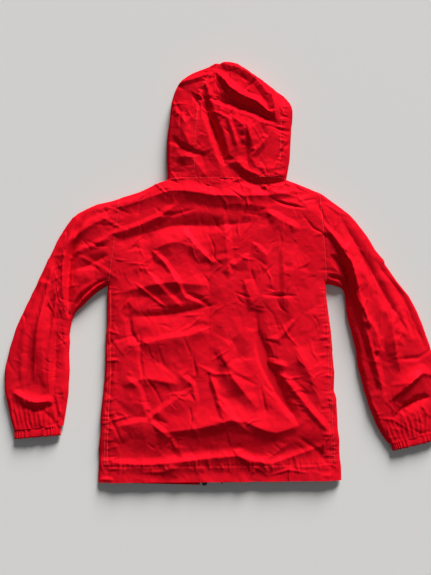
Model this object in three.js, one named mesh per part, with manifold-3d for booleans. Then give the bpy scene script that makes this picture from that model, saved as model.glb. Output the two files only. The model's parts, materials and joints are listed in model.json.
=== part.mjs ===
// A hooded hardshell rain jacket, laid face down on a flat surface with its front zip undone.
// Millimetres, +Z up. +Y runs from the hem to the hood and +X to the wearer's right, because the
// back of the jacket is on top. Each cloth panel is a thin closed sheet on one of two levels, the
// front cloth below and the back cloth above, and taped seams stand between the two levels.
import * as THREE from "three";
import { mergeVertices } from "three/addons/utils/BufferGeometryUtils.js";
import Module from "manifold-3d";

const wasm = await Module();
wasm.setup();

// Cloth and clearances
const cloth = 2; // one laid panel: shell, membrane and lining
const seam = 0.3; // clearance between two pieces that are sewn or rest on each other
const tape = 0.8; // seam tape and zip tape
const neckTapeWidth = 14;
const neckTapeEnd = 8; // the neck seam's tape stops this far short of the shoulder seams
const seamWall = 1.7; // a taped seam seen end on
const sleeveSeam = 0.7; // the sleeves' edges bend, so their seams stand a little further off
const seamEnd = 6; // a seam's wall stops this far short of the next seam

// Body, laid flat
const hemHalf = 221;
const chestHalf = 211;
const shoulderHalf = 200;
const neckHalf = 121;
const sideLength = 360; // hem edge to underarm
const armholeDepth = 183; // underarm to shoulder point
const shoulderDrop = 30; // shoulder point to neck seam
const hemBand = 28;
const hemCloth = 3; // the back hem is turned up and doubled
const frontHemDrop = 6; // the left front hem hangs this much below the back hem
const bodyShift = -5; // the laid body is this far off centre
const neckShift = 16; // and the neck this far the other way
const frontLevel = 4.5; // underside of the front cloth
const backLevel = 22; // underside of the back cloth

// Hang loop
const loopLength = 44;
const loopHeight = 7.8;
const loopWidth = 6;
const loopCloth = 1.2;

// Sleeves
const sleeveLength = 406; // centre line, armhole to cuff
const elbowWidth = 196;
const forearmWidth = 128;
const wristWidth = 92;
const cuffWidth = 86;
const cuffHeight = 15;
const cuffDepth = 13;
const elasticWall = 1.2;
const elasticShort = 2.5; // the elastic stops this far inside each edge of its casing

// Hood
const hoodLength = 256; // neck seam to crown
const hoodHeight = 40;
const hoodCloth = 3;
const hoodRamp = 102; // the cloth rises to full height over this length
const hoodCrown = 77; // and falls to the brim over this one
const faceEdge = 5.5; // top of the cloth where it meets the face opening's edge
const facingWidth = 48;
const facingCloth = 2.2;
const bindingWidth = 4;
const hoodTapeWidth = 13;
const hoodStations = 10;
const faceEnd = 0.7; // the facings run up to this share of the hood's length
const brimGap = 0.015; // and the brim starts this share further on
const hoodSeamLeft = 0.22; // shares of the hood's width, left edge to right edge
const hoodSeamRight = 0.92;

// Zips
const zipMiddle = -18; // x of the middle of the front opening
const zipGap = 34; // between the two undone chains
const zipLevel = 7.2; // mid-plane of every chain
const tapeWidth = 14;
const coilWidth = 2.2;
const coilHeight = 2;
const zipTop = 6; // the chain stops this far below the neck seam
const zipFoot = 11; // the chain starts this far above the hem's edge
const zipBelow = 4; // and its box and pin reach this far below it
const tapeBelow = 2;
const retainerWidth = 8.1;
const topStop = 3;
const stopProud = 0.2;
const sliderLength = 11;
const sliderHalf = 6;
const sliderPlate = 1;
const sliderRoom = 0.4; // between the chain and the slider's plates
const postWidth = 1;
const postHalf = 3;
const weld = 0.5; // how far one part of a slider sinks into the next
const postGap = 1.6; // between the chains of a closed zip
const bridgeHeight = 3;
const bridgeWall = 0.8;
const bridgeWidth = 3;
const bridgeHalf = 4;
const pullLength = 26;
const pullWidth = 7;
const pullCloth = 1;
const pullBar = 1;
const pullWindow = 9;
const pullPlay = 0.6; // beside the bridge, inside the pull's window
const parked = 1; // from the end of the chain to the parked main slider
const chinGuardWidth = 15.1;
const flapWidth = 26.4;
const flapSewn = 1.5;

// Hand pockets
const pocketOut = 130; // from the body's middle to a pocket's zip
const pocketZip = 150;
const pocketTop = 235; // from the back hem's edge to the top of the pocket's zip
const pocketBagWidth = 98;
const pocketBagLength = 222;
const pocketBagCloth = 1.6;
const pocketChainEnd = 3.5; // the closed chain runs this far past each end of the opening
const pocketTapeEnd = 10;
const pocketTapeSide = 12;
const bagSide = 2; // the bag is this much wider than the zip tape on its outer side
const bagAbove = 4;
const slotEnd = 4;

// Levels that follow from the sizes above
const frontTop = frontLevel + cloth;
const backTop = backLevel + cloth;
const tapeLow = frontTop + seam;
const sliderIn = coilHeight / 2 + sliderRoom;
const bagLow = zipLevel + sliderIn + sliderPlate + sliderRoom;

// Places along the body
const hemY = -413;
const underarmY = hemY + sideLength;
const shoulderY = underarmY + armholeDepth;
const neckY = shoulderY + shoulderDrop;
const crownY = neckY + hoodLength;
const leftChainX = zipMiddle - zipGap / 2;
const rightChainX = zipMiddle + zipGap / 2;

const v2 = (x, y) => new THREE.Vector2(x, y);
const mix = THREE.MathUtils.lerp;
const mapped = (value, a, b, c, d) =>
  THREE.MathUtils.mapLinear(THREE.MathUtils.clamp(value, a, b), a, b, c, d);

const side = {
  left: (half, shift) => shift - half,
  right: (half, shift) => shift + half,
};
function corners(at) {
  return {
    hem: v2(at(hemHalf, bodyShift), hemY),
    band: v2(at(hemHalf, bodyShift), hemY + hemBand),
    underarm: v2(at(chestHalf, bodyShift), underarmY),
    shoulder: v2(at(shoulderHalf, 0), shoulderY),
    neck: v2(at(neckHalf, neckShift), neckY),
  };
}
const left = corners(side.left);
const right = corners(side.right);

// Materials
function material(color, roughness, metalness = 0) {
  return new THREE.MeshStandardMaterial({ color, roughness, metalness });
}
const shell = material(0xd4121c, 0.45);
const lining = material(0xb30f18, 0.6);
const seamTape = material(0xc4474d, 0.5);
const elastic = material(0x9c1219, 0.85);
const zipBlack = material(0x141416, 0.55);
const zipMetal = material(0x2a2a2d, 0.35, 0.8);
const ribbon = material(0x1b1b1e, 0.8);

function named(name, geometry, look) {
  const mesh = new THREE.Mesh(geometry, look);
  mesh.name = name;
  return mesh;
}

// Solids
function closed(geometry) {
  const bare = geometry.clone();
  for (const extra of ["normal", "uv"]) bare.deleteAttribute(extra);
  return mergeVertices(bare, 1e-4);
}

function manifoldOf(geometry) {
  const merged = closed(geometry);
  return new wasm.Manifold(
    new wasm.Mesh({
      numProp: 3,
      vertProperties: merged.attributes.position.array,
      triVerts: new Uint32Array(merged.index.array),
    }),
  );
}

function geometryOf(solid) {
  const mesh = solid.getMesh();
  const geometry = new THREE.BufferGeometry();
  geometry.setAttribute("position", new THREE.BufferAttribute(mesh.vertProperties, 3));
  geometry.setIndex(new THREE.BufferAttribute(mesh.triVerts, 1));
  return geometry;
}

const cut = (body, tool) => geometryOf(manifoldOf(body).subtract(manifoldOf(tool)));
const join = (body, more) => geometryOf(manifoldOf(body).add(manifoldOf(more)));

function block(x0, x1, y0, y1, z0, z1) {
  return new THREE.BoxGeometry(x1 - x0, y1 - y0, z1 - z0).translate(
    (x0 + x1) / 2,
    (y0 + y1) / 2,
    (z0 + z1) / 2,
  );
}

// A path through its points by straight stretches, for v from 0 to 1
function bent(points) {
  return (v) => {
    const at = v * (points.length - 1);
    const i = Math.min(Math.floor(at), points.length - 2);
    return points[i].clone().lerp(points[i + 1], at - i);
  };
}

// The same by a smooth curve
function curved(points) {
  const curve = new THREE.SplineCurve(points);
  return (v) => curve.getPoint(v);
}

// A laid sheet of cloth. Rungs run from its near edge to its far edge. shares picks the part of
// each rung that the sheet covers, and trim takes some millimetres more off each end of it.
// low and high give the heights of its two faces at (u, v, point).
function sheet({ near, far, low, high, shares = [0, 1], trim = [0, 0], along = 6, across = 1 }) {
  const box = new THREE.BoxGeometry(1, 1, 1, across, along, 1);
  const corner = box.attributes.position;
  for (let i = 0; i < corner.count; i++) {
    const v = corner.getY(i) + 0.5;
    const rung = [near(v), far(v)];
    const way = rung[1].clone().sub(rung[0]).normalize();
    const start = rung[0].clone().lerp(rung[1], shares[0]).addScaledVector(way, trim[0]);
    const end = rung[0].clone().lerp(rung[1], shares[1]).addScaledVector(way, -trim[1]);
    const point = start.clone().lerp(end, corner.getX(i) + 0.5);
    const u = point.clone().sub(rung[0]).dot(way) / rung[1].distanceTo(rung[0]);
    const face = corner.getZ(i) > 0 ? high : low;
    corner.setXYZ(i, point.x, point.y, face(u, v, point));
  }
  return box;
}
const level = (z) => () => z;

// Walls that stand outside a sheet's near edge and its far edge
function walls({ near, far, low, high, gap = seam, along }) {
  const strip = { near, far, low, high, along };
  return [
    sheet({ ...strip, shares: [0, 0], trim: [-gap - seamWall, gap] }),
    sheet({ ...strip, shares: [1, 1], trim: [gap, -gap - seamWall] }),
  ];
}

// Body
function bodyPanels() {
  const neckGap = v2(0, -seam / 2);
  const up = v2(0, seam);
  const edge = (c) =>
    bent([c.band.clone().add(up), c.underarm, c.shoulder, c.neck.clone().add(neckGap)]);
  const back = sheet({
    near: edge(left),
    far: edge(right),
    low: level(backLevel),
    high: level(backTop),
    along: 9,
    across: 4,
  });
  const zipEdge = (x) =>
    bent([
      v2(x, left.band.y + seam),
      v2(x, underarmY),
      v2(x, shoulderY),
      v2(x, neckY - seam / 2),
    ]);
  const clear = sliderHalf + sliderRoom;
  const flat = { low: level(frontLevel), high: level(frontTop), along: 6, across: 2 };
  const leftFront = sheet({ near: edge(left), far: zipEdge(leftChainX - clear), ...flat });
  const rightFront = sheet({ near: zipEdge(rightChainX + clear), far: edge(right), ...flat });
  return [
    named("back_panel", back, shell),
    named("left_front_panel", cut(leftFront, pocketSlot(pocketX.left)), shell),
    named("right_front_panel", cut(rightFront, pocketSlot(pocketX.right)), shell),
  ];
}

// The point this far along the line from a to b
const shortOf = (a, b, rest) => b.clone().lerp(a, rest / a.distanceTo(b));

function bodySeams() {
  const wholeBody = { low: level(0), high: level(backTop), along: 4 };
  const overFront = { low: level(frontLevel), high: level(backTop), along: 2 };
  const side = (c) => bent([c.hem, c.band, shortOf(c.band, c.underarm, seamEnd)]);
  const shoulder = (c) =>
    bent([shortOf(c.neck, c.shoulder, seamEnd), shortOf(c.shoulder, c.neck, seam)]);
  const sides = walls({ near: side(left), far: side(right), ...wholeBody });
  const shoulders = walls({ near: shoulder(left), far: shoulder(right), ...overFront });
  const under = backLevel - seam;
  const neck = block(
    left.neck.x + neckTapeEnd,
    right.neck.x - neckTapeEnd,
    neckY - neckTapeWidth,
    neckY - seam,
    under - tape,
    under,
  );
  return [
    named("left_side_seam_tape", sides[0], seamTape),
    named("right_side_seam_tape", sides[1], seamTape),
    named("left_shoulder_seam_tape", shoulders[0], seamTape),
    named("right_shoulder_seam_tape", shoulders[1], seamTape),
    named("back_neck_seam_tape", neck, seamTape),
  ];
}

function hemBands() {
  const top = hemY + hemBand;
  const clear = sliderHalf + sliderRoom;
  const inner = (x, way) => x + way * seam;
  const backBand = block(
    inner(left.hem.x, 1),
    inner(right.hem.x, -1),
    hemY,
    top,
    backTop - hemCloth,
    backTop,
  );
  const leftBand = block(
    inner(left.hem.x, 1),
    leftChainX - clear,
    hemY - frontHemDrop,
    top,
    0,
    frontTop,
  );
  const rightBand = block(rightChainX + clear, inner(right.hem.x, -1), hemY, top, 0, frontTop);
  return [
    named("back_hem_band", backBand, shell),
    named("left_front_hem_band", leftBand, shell),
    named("right_front_hem_band", rightBand, shell),
  ];
}

// The ribbon loop that the jacket hangs from, under the seam tape inside the back neck
function hangLoop() {
  const outline = stadium(loopLength, loopHeight);
  outline.holes.push(stadium(loopLength - 2 * loopCloth, loopHeight - 2 * loopCloth));
  const ring = new THREE.ExtrudeGeometry(outline, {
    depth: loopWidth,
    bevelEnabled: false,
    curveSegments: 4,
  });
  const top = backLevel - tape - 2 * seam;
  const loop = ring
    .rotateX(Math.PI / 2)
    .translate(neckShift, neckY - neckTapeWidth / 2 + loopWidth / 2, top - loopHeight / 2);
  return named("hang_loop", loop, ribbon);
}

function stadium(length, width) {
  const r = width / 2;
  const flat = length / 2 - r;
  const shape = new THREE.Shape();
  shape.moveTo(-flat, -r);
  shape.lineTo(flat, -r);
  shape.absarc(flat, 0, r, -Math.PI / 2, Math.PI / 2, false);
  shape.lineTo(-flat, r);
  shape.absarc(-flat, 0, r, Math.PI / 2, (3 * Math.PI) / 2, false);
  return shape;
}

// Zips. A slider is drawn at the origin of its own group, in the chain's mid-plane, with its
// length along Y and its bridge below, on the outside of the jacket.
function sliderBody() {
  const plate = (z) =>
    block(-sliderHalf, sliderHalf, -sliderLength / 2, sliderLength / 2, z, z + sliderPlate);
  const postTop = sliderIn + weld;
  const post = block(-postWidth / 2, postWidth / 2, -postHalf, postHalf, -postTop, postTop);
  const plates = join(plate(sliderIn), plate(-sliderIn - sliderPlate));
  const legs = block(
    -bridgeWidth / 2,
    bridgeWidth / 2,
    -bridgeHalf,
    bridgeHalf,
    -sliderIn - sliderPlate - bridgeHeight,
    -sliderIn - sliderPlate + weld,
  );
  const hole = block(
    -bridgeWidth,
    bridgeWidth,
    -bridgeHole,
    bridgeHole,
    -sliderIn - sliderPlate - bridgeHeight + bridgeWall,
    -sliderIn - sliderPlate,
  );
  return join(join(plates, post), cut(legs, hole));
}
const bridgeHole = 2.6;
const pullPivot = -sliderIn - sliderPlate - (bridgeHeight - bridgeWall) / 2;

function pullTab() {
  const half = pullWidth / 2;
  const windowHalf = bridgeWidth / 2 + pullPlay;
  const plate = block(
    -half,
    half,
    pullBar / 2 - pullLength,
    pullBar / 2,
    pullPivot - pullCloth / 2,
    pullPivot + pullCloth / 2,
  );
  const opening = block(
    -windowHalf,
    windowHalf,
    -pullBar / 2 - pullWindow,
    -pullBar / 2,
    pullPivot - pullCloth,
    pullPivot + pullCloth,
  );
  return cut(plate, opening);
}

function sliderAt(name, x, y) {
  const group = new THREE.Group();
  group.position.set(x, y, zipLevel);
  group.add(named(name + "_slider", sliderBody(), zipMetal));
  group.add(named(name + "_pull", pullTab(), zipMetal));
  return group;
}

const chainBottom = hemY + zipFoot;
const chainTop = neckY - zipTop;
function mainZip() {
  const half = coilWidth / 2;
  const low = zipLevel - coilHeight / 2;
  const high = zipLevel + coilHeight / 2;
  const parts = [];
  for (const [name, x, out] of [
    ["left", leftChainX, -1],
    ["right", rightChainX, 1],
  ]) {
    const tapeX = [x + out * (half + seam), x + out * (half + seam + tapeWidth)].sort(
      (a, b) => a - b,
    );
    parts.push(
      named(
        name + "_zip_tape",
        block(...tapeX, hemY - tapeBelow, chainTop, tapeLow, tapeLow + tape),
        zipBlack,
      ),
      named(
        name + "_zip_coil",
        block(x - half, x + half, chainBottom, chainTop - topStop - seam, low, high),
        zipBlack,
      ),
      named(
        name + "_zip_top_stop",
        block(x - half, x + half, chainTop - topStop, chainTop, low - stopProud, high + stopProud),
        zipMetal,
      ),
    );
  }
  const foot = hemY - zipBelow;
  const boxStart = leftChainX - half;
  const boxHigh = zipLevel + sliderIn + sliderPlate;
  const boxLow = zipLevel - sliderIn - sliderPlate;
  parts.push(
    named(
      "zip_retainer_box",
      block(boxStart, boxStart + retainerWidth, foot, chainBottom - seam, boxLow, boxHigh),
      zipMetal,
    ),
    named(
      "zip_insertion_pin",
      block(rightChainX - half, rightChainX + half, foot, chainBottom - seam, low, high),
      zipMetal,
    ),
    named("left_chin_guard", chinGuard(leftChainX), shell),
    named("storm_flap", stormFlap(), lining),
  );
  parts.push(sliderAt("main_zip", leftChainX + coilWidth / 2 + postGap / 2, mainSliderY));
  return parts;
}
const mainSliderY = chainBottom + sliderLength / 2 + parked;

// A small fold of cloth over the top of the zip, which keeps the slider off the chin
function chinGuard(x) {
  const start = x - sliderHalf - sliderRoom + seam;
  return block(
    start,
    start + chinGuardWidth,
    chainTop + seam,
    neckY - seam,
    frontLevel,
    zipLevel + sliderIn + sliderPlate,
  );
}

// An L of cloth behind the zip, sewn to the left tape
function stormFlap() {
  const high = bagLow + pocketBagCloth;
  const sewn = leftChainX - coilWidth / 2 - seam - tapeWidth;
  const bottom = left.band.y + seam;
  const leg = block(sewn, sewn + flapSewn, bottom, chainTop, tapeLow + tape + seam, high);
  const face = block(sewn, sewn + flapWidth, bottom, chainTop, bagLow, high);
  return join(leg, face);
}

const pocketX = { left: bodyShift - pocketOut, right: bodyShift + pocketOut };
const pocketZipTop = hemY + pocketTop;
const pocketMiddle = pocketZipTop - pocketZip / 2;
function pocketSlot(x) {
  const half = sliderHalf + 2 * sliderRoom;
  const end = pocketZip / 2 + slotEnd;
  return block(
    x - half,
    x + half,
    pocketMiddle - end,
    pocketMiddle + end,
    frontLevel - 1,
    frontTop + 1,
  );
}

function frame(outer, inner, low, high) {
  return cut(
    block(-outer[0] / 2, outer[0] / 2, -outer[1] / 2, outer[1] / 2, low, high),
    block(-inner[0] / 2, inner[0] / 2, -inner[1] / 2, inner[1] / 2, low - 1, high + 1),
  );
}

function pocket(name, x, inward) {
  const chain = 2 * coilWidth + postGap;
  const chainLong = pocketZip + 2 * pocketChainEnd;
  const slot = [chain + 2 * seam, chainLong + 2 * seam];
  const tapes = [slot[0] + 2 * pocketTapeSide, slot[1] + 2 * pocketTapeEnd];
  const low = zipLevel - coilHeight / 2;
  const high = zipLevel + coilHeight / 2;
  const reach = tapes[0] / 2 + bagSide;
  const bagX = [x - inward * reach, x - inward * reach + inward * pocketBagWidth];
  bagX.sort((a, b) => a - b);
  const bagTop = pocketMiddle + tapes[1] / 2 + bagAbove;
  const bagBox = [...bagX, bagTop - pocketBagLength, bagTop];
  const outer = block(...bagBox, tapeLow, bagLow + pocketBagCloth);
  const hollow = block(
    bagBox[0] + pocketBagCloth,
    bagBox[1] - pocketBagCloth,
    bagBox[2] + pocketBagCloth,
    bagBox[3] - pocketBagCloth,
    tapeLow - 1,
    bagLow,
  );
  const centre = (geometry) => geometry.translate(x, pocketMiddle, 0);
  return [
    named(
      name + "_pocket_zip_tape",
      centre(frame(tapes, slot, tapeLow, tapeLow + tape)),
      zipBlack,
    ),
    named(
      name + "_pocket_zip_coil",
      centre(frame([chain, chainLong], [postGap, pocketZip], low, high)),
      zipBlack,
    ),
    named(name + "_pocket_bag", cut(outer, hollow), lining),
    sliderAt(name + "_pocket_zip", x, pocketZipTop - sliderLength / 2),
  ];
}

// Sleeves. A station gives the middle of a rung as shares of the sleeve's length from the middle
// of the armhole, the rung's width, and the way it points from the underarm side, in degrees.
const sleeves = {
  left: [
    { x: -0.192, y: -0.106, width: elbowWidth, turn: 95 },
    { x: -0.266, y: -0.305, width: mix(forearmWidth, elbowWidth, 0.2), turn: 114 },
    { x: -0.315, y: -0.5, width: forearmWidth, turn: 142 },
    { x: -0.34, y: -0.672, width: forearmWidth, turn: 161 },
    { x: -0.333, y: -0.813, width: mix(wristWidth, forearmWidth, 0.4), turn: 171 },
    { x: -0.323, y: -0.877, width: wristWidth, turn: 180 },
  ],
  right: [
    { x: 0.115, y: -0.079, width: mix(forearmWidth, elbowWidth, 0.25), turn: 80 },
    { x: 0.193, y: -0.256, width: mix(forearmWidth, elbowWidth, 0.15), turn: 58 },
    { x: 0.275, y: -0.458, width: forearmWidth * 1.14, turn: 35 },
    { x: 0.319, y: -0.66, width: forearmWidth * 1.14, turn: 20 },
    { x: 0.346, y: -0.842, width: mix(wristWidth, forearmWidth, 0.8), turn: 14 },
    { x: 0.358, y: -0.929, width: wristWidth, turn: 13 },
  ],
};

function sleeve(name, corner, outward) {
  const offset = v2(outward * seam, 0);
  const under = [corner.underarm.clone().add(offset)];
  const over = [corner.shoulder.clone().add(offset)];
  const armhole = under[0].clone().add(over[0]).multiplyScalar(0.5);
  for (const s of sleeves[name]) {
    const turn = THREE.MathUtils.degToRad(s.turn);
    const reach = v2(Math.cos(turn), Math.sin(turn)).multiplyScalar(s.width / 2);
    const middle = armhole.clone().add(v2(s.x, s.y).multiplyScalar(sleeveLength));
    under.push(middle.clone().sub(reach));
    over.push(middle.clone().add(reach));
  }
  // The cloth comes down from the body's two levels to the cuff's
  const topAt = (u, v) => mapped(v, 0, 1, backTop, cuffDepth);
  const baseAt = (u, v) => mapped(v, 0, 1 / 3, frontLevel, 0);
  // Rungs run so that the sheet's length, its rungs and +Z make a right-handed set
  const edges = outward < 0 ? [curved(under), curved(over)] : [curved(over), curved(under)];
  const between = { near: edges[0], far: edges[1], along: 12, across: 2 };
  const back = sheet({ ...between, low: (u, v) => topAt(u, v) - cloth, high: topAt });
  const front = sheet({ ...between, low: baseAt, high: (u, v) => baseAt(u, v) + cloth });
  const seams = walls({ ...between, low: baseAt, high: topAt, gap: sleeveSeam });
  if (outward > 0) seams.reverse();
  const group = new THREE.Group();
  group.add(
    named(name + "_sleeve_back_panel", back, shell),
    named(name + "_sleeve_front_panel", front, shell),
    named(name + "_underarm_seam_tape", seams[0], seamTape),
    named(name + "_sleeve_top_seam_tape", seams[1], seamTape),
    ...cuff(name, under.at(-1), over.at(-1), outward),
  );
  return group;
}

// A flat ring of gathered cloth with an elastic ring inside it, at the end of a sleeve
function cuff(name, under, over, outward) {
  const middle = under.clone().add(over).multiplyScalar(0.5);
  const across = over.clone().sub(under).normalize();
  const onward = v2(across.y, -across.x).multiplyScalar(outward);
  const ring = (width, depth, wall, height, base) => {
    const outline = stadium(width, depth);
    outline.holes.push(stadium(width - 2 * wall, depth - 2 * wall));
    const made = new THREE.ExtrudeGeometry(outline, {
      depth: height,
      bevelEnabled: false,
      curveSegments: 6,
    });
    // Drawn across X and Y and extruded up Z, then laid so that Z runs out of the sleeve
    made.translate(0, 0, base);
    made.rotateX(Math.PI / 2);
    made.rotateZ(Math.atan2(onward.y, onward.x) + Math.PI / 2);
    return made.translate(middle.x, middle.y, cuffDepth / 2);
  };
  const inset = cloth + seam;
  return [
    named(name + "_cuff_casing", ring(cuffWidth, cuffDepth, cloth, cuffHeight, seam), shell),
    named(
      name + "_cuff_elastic",
      ring(
        cuffWidth - 2 * inset,
        cuffDepth - 2 * inset,
        elasticWall,
        cuffHeight - 2 * elasticShort,
        seam + elasticShort,
      ),
      elastic,
    ),
  ];
}

// Hood. Its two edges run from the neck seam to the crown.
const hoodStart = neckY + seam / 2;
const hoodPoint = (x, share) => v2(neckShift + x, mix(hoodStart, crownY, share));
const hoodEdges = {
  near: curved([
    hoodPoint(-120, 0),
    hoodPoint(-121, 0.26),
    hoodPoint(-117, 0.48),
    hoodPoint(-107, 0.76),
    hoodPoint(-80, 0.89),
    hoodPoint(-24, 1),
  ]),
  far: curved([
    hoodPoint(120, 0),
    hoodPoint(128, 0.17),
    hoodPoint(131, 0.43),
    hoodPoint(138, 0.58),
    hoodPoint(118, 0.7),
    hoodPoint(24, 0.985),
  ]),
};

// Height of the hood's cloth over the surface: a dome with a ramp at the neck and a drop at the
// crown, falling to the edge of the face opening on both sides
function hoodTop(u, v) {
  const ridge = Math.min(
    mapped(v, 0, hoodRamp / hoodLength, backTop, hoodHeight),
    mapped(v, 1 - hoodCrown / hoodLength, 1, hoodHeight, faceEdge),
  );
  const fall = Math.min(mapped(u, 0, hoodSeamLeft, 0, 1), mapped(u, hoodSeamRight, 1, 1, 0));
  return mix(faceEdge, ridge, fall);
}
const hoodUnder = (u, v) => hoodTop(u, v) - hoodCloth;

// The stretch of the hood from one share of its length to another. Every stretch has rungs at the
// same stations, a tenth of the hood apart, so that stacked sheets stay parallel.
function hoodStretch(from, to, heights) {
  const here = (v) => mix(from, to, v);
  return {
    near: (v) => hoodEdges.near(here(v)),
    far: (v) => hoodEdges.far(here(v)),
    low: (u, v) => heights.low(u, here(v)),
    high: (u, v) => heights.high(u, here(v)),
    along: Math.round((to - from) * hoodStations),
  };
}

function hoodShell() {
  const cover = hoodStretch(0, 1, { low: hoodUnder, high: hoodTop });
  const half = seam / 2;
  const centre = {
    ...cover,
    shares: [hoodSeamLeft, hoodSeamRight],
    trim: [half, half],
    across: 3,
  };
  return [
    named("hood_center_panel", sheet(centre), shell),
    named("hood_left_panel", sheet({ ...cover, shares: [0, hoodSeamLeft], trim: [0, half] }), shell),
    named(
      "hood_right_panel",
      sheet({ ...cover, shares: [hoodSeamRight, 1], trim: [half, 0] }),
      shell,
    ),
  ];
}

// The tapes lie under the centre panel, just beside its two seams
function hoodSeams() {
  const under = hoodStretch(0.1, 0.8, {
    low: (u, v) => hoodUnder(u, v) - seam - tape,
    high: (u, v) => hoodUnder(u, v) - seam,
  });
  const strip = (share, trim) => sheet({ ...under, shares: [share, share], trim });
  return [
    named("hood_left_seam_tape", strip(hoodSeamLeft, [1, -hoodTapeWidth]), seamTape),
    named("hood_right_seam_tape", strip(hoodSeamRight, [-hoodTapeWidth, 1]), seamTape),
  ];
}

// Round the face opening, on the underside: a facing and an elastic binding down each side, and
// the brim across the crown
function faceOpening() {
  const flat = { low: level(0), high: level(facingCloth) };
  const sides = hoodStretch(0, faceEnd, flat);
  const bound = facingWidth + seam;
  const strip = (share, trim) => sheet({ ...sides, shares: [share, share], trim });
  const brim = hoodStretch(faceEnd + brimGap, 1, flat);
  return [
    named("hood_left_facing", strip(0, [0, -facingWidth]), lining),
    named("hood_right_facing", strip(1, [-facingWidth, 0]), lining),
    named("hood_left_face_binding", strip(0, [bound, -bound - bindingWidth]), elastic),
    named("hood_right_face_binding", strip(1, [-bound - bindingWidth, bound]), elastic),
    named("hood_brim", sheet({ ...brim, along: 3 }), lining),
  ];
}

function hood() {
  const group = new THREE.Group();
  group.add(...hoodShell(), ...hoodSeams(), ...faceOpening());
  return group;
}

const jacket = new THREE.Group();
jacket.add(
  ...bodyPanels(),
  ...bodySeams(),
  ...hemBands(),
  hangLoop(),
  ...mainZip(),
  ...pocket("left", pocketX.left, 1),
  ...pocket("right", pocketX.right, -1),
  sleeve("left", left, -1),
  sleeve("right", right, 1),
  hood(),
);

// The origin is under the middle of the laid jacket
const box = new THREE.Box3().setFromObject(jacket);
const middle = box.getCenter(new THREE.Vector3());
jacket.position.set(-middle.x, -middle.y, -box.min.z);

export default jacket;
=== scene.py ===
"""A red hooded shell jacket, laid face down. Metres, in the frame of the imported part."""

import json
import math

import bmesh
import bpy
import numpy as np
from mathutils import Matrix, Vector
from mathutils.geometry import delaunay_2d_cdt as triangulate


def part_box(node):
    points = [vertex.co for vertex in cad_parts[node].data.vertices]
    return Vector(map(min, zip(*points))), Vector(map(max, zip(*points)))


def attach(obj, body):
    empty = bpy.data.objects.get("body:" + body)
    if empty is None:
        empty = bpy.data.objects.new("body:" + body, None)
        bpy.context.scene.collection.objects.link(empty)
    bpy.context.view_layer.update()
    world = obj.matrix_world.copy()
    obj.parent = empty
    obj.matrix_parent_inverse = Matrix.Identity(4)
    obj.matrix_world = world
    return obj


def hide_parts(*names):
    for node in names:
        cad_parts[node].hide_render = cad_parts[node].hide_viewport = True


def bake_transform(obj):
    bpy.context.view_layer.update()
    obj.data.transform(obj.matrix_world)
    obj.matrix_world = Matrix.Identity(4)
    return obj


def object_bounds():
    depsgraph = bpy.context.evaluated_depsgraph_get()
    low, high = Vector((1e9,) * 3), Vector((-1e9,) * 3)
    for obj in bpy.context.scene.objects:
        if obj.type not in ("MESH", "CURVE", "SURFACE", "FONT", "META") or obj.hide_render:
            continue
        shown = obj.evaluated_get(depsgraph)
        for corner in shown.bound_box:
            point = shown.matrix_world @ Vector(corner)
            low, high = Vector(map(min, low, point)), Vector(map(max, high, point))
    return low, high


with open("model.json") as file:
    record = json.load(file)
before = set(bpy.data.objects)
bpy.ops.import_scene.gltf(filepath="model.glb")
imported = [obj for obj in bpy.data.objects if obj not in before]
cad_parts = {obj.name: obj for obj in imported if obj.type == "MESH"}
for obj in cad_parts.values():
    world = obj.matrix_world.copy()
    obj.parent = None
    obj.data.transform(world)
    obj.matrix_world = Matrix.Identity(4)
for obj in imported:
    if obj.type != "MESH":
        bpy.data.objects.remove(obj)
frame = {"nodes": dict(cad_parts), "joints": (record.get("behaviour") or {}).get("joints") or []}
cad_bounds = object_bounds()
rng = np.random.default_rng(7)
MM = 0.001

# Cloth
CLOTH = 0.5 * MM
LINING = 0.4 * MM
CELL = 1.3 * MM  # spacing of the height map
BODY_HEIGHT = 21 * MM
HOOD_HEIGHT = 31 * MM
CUFF_HEIGHT = 12 * MM
HEM_HEIGHT = 12.8 * MM
RIM_HEIGHT = 4.5 * MM  # where the upper and the lower cloth meet
ROLL = 7 * MM  # the cloth turns up steeply over this width inside the outline
SLOPE = 60 * MM  # and then rises gently to its full height over this one
ROLL_SHARE = 0.42
UNDER_ROLL = 8 * MM
FLOOR_GAP = 1.2 * MM
SIDE_WRAP = 20 * MM  # the front panels come round the sides by this much
FOLD_ALLOWANCE = 1.03  # a panel is cut larger than it lies, because its folds take up cloth
LOWEST_COVER = 13.2 * MM  # the back cloth stays above the pocket bags and the storm flap


# ---------------------------------------------------------------- outlines from the CAD nodes
def plan_loop(node):
    """The plan outline of a node's upper faces, as an ordered loop of points."""
    mesh = bmesh.new()
    mesh.from_mesh(frame["nodes"][node].data)
    bmesh.ops.remove_doubles(mesh, verts=mesh.verts, dist=1e-5)
    mesh.normal_update()
    upper = {f for f in mesh.faces if f.normal.z > 0.2}
    after = {}
    for face in upper:
        for loop in face.loops:
            if sum(f in upper for f in loop.edge.link_faces) == 1:
                after[loop.vert.index] = loop.link_loop_next.vert.index
    mesh.verts.ensure_lookup_table()
    start = next(iter(after))
    order = [start]
    while after[order[-1]] != start:
        order.append(after[order[-1]])
    points = np.array([mesh.verts[i].co[:2] for i in order])
    mesh.free()
    return points


def nearest(points, place):
    """The index of the point nearest to a place."""
    return int(np.argmin(np.linalg.norm(points - np.array(place), axis=1)))


def stretch(points, start, end):
    """The shorter way round a loop between the points nearest to start and end."""
    a = nearest(points, start)
    b = nearest(points, end)
    count = len(points)
    ahead = [points[(a + i) % count] for i in range((b - a) % count + 1)]
    back = [points[(a - i) % count] for i in range((a - b) % count + 1)]
    return np.array(ahead if len(ahead) <= len(back) else back)


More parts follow.
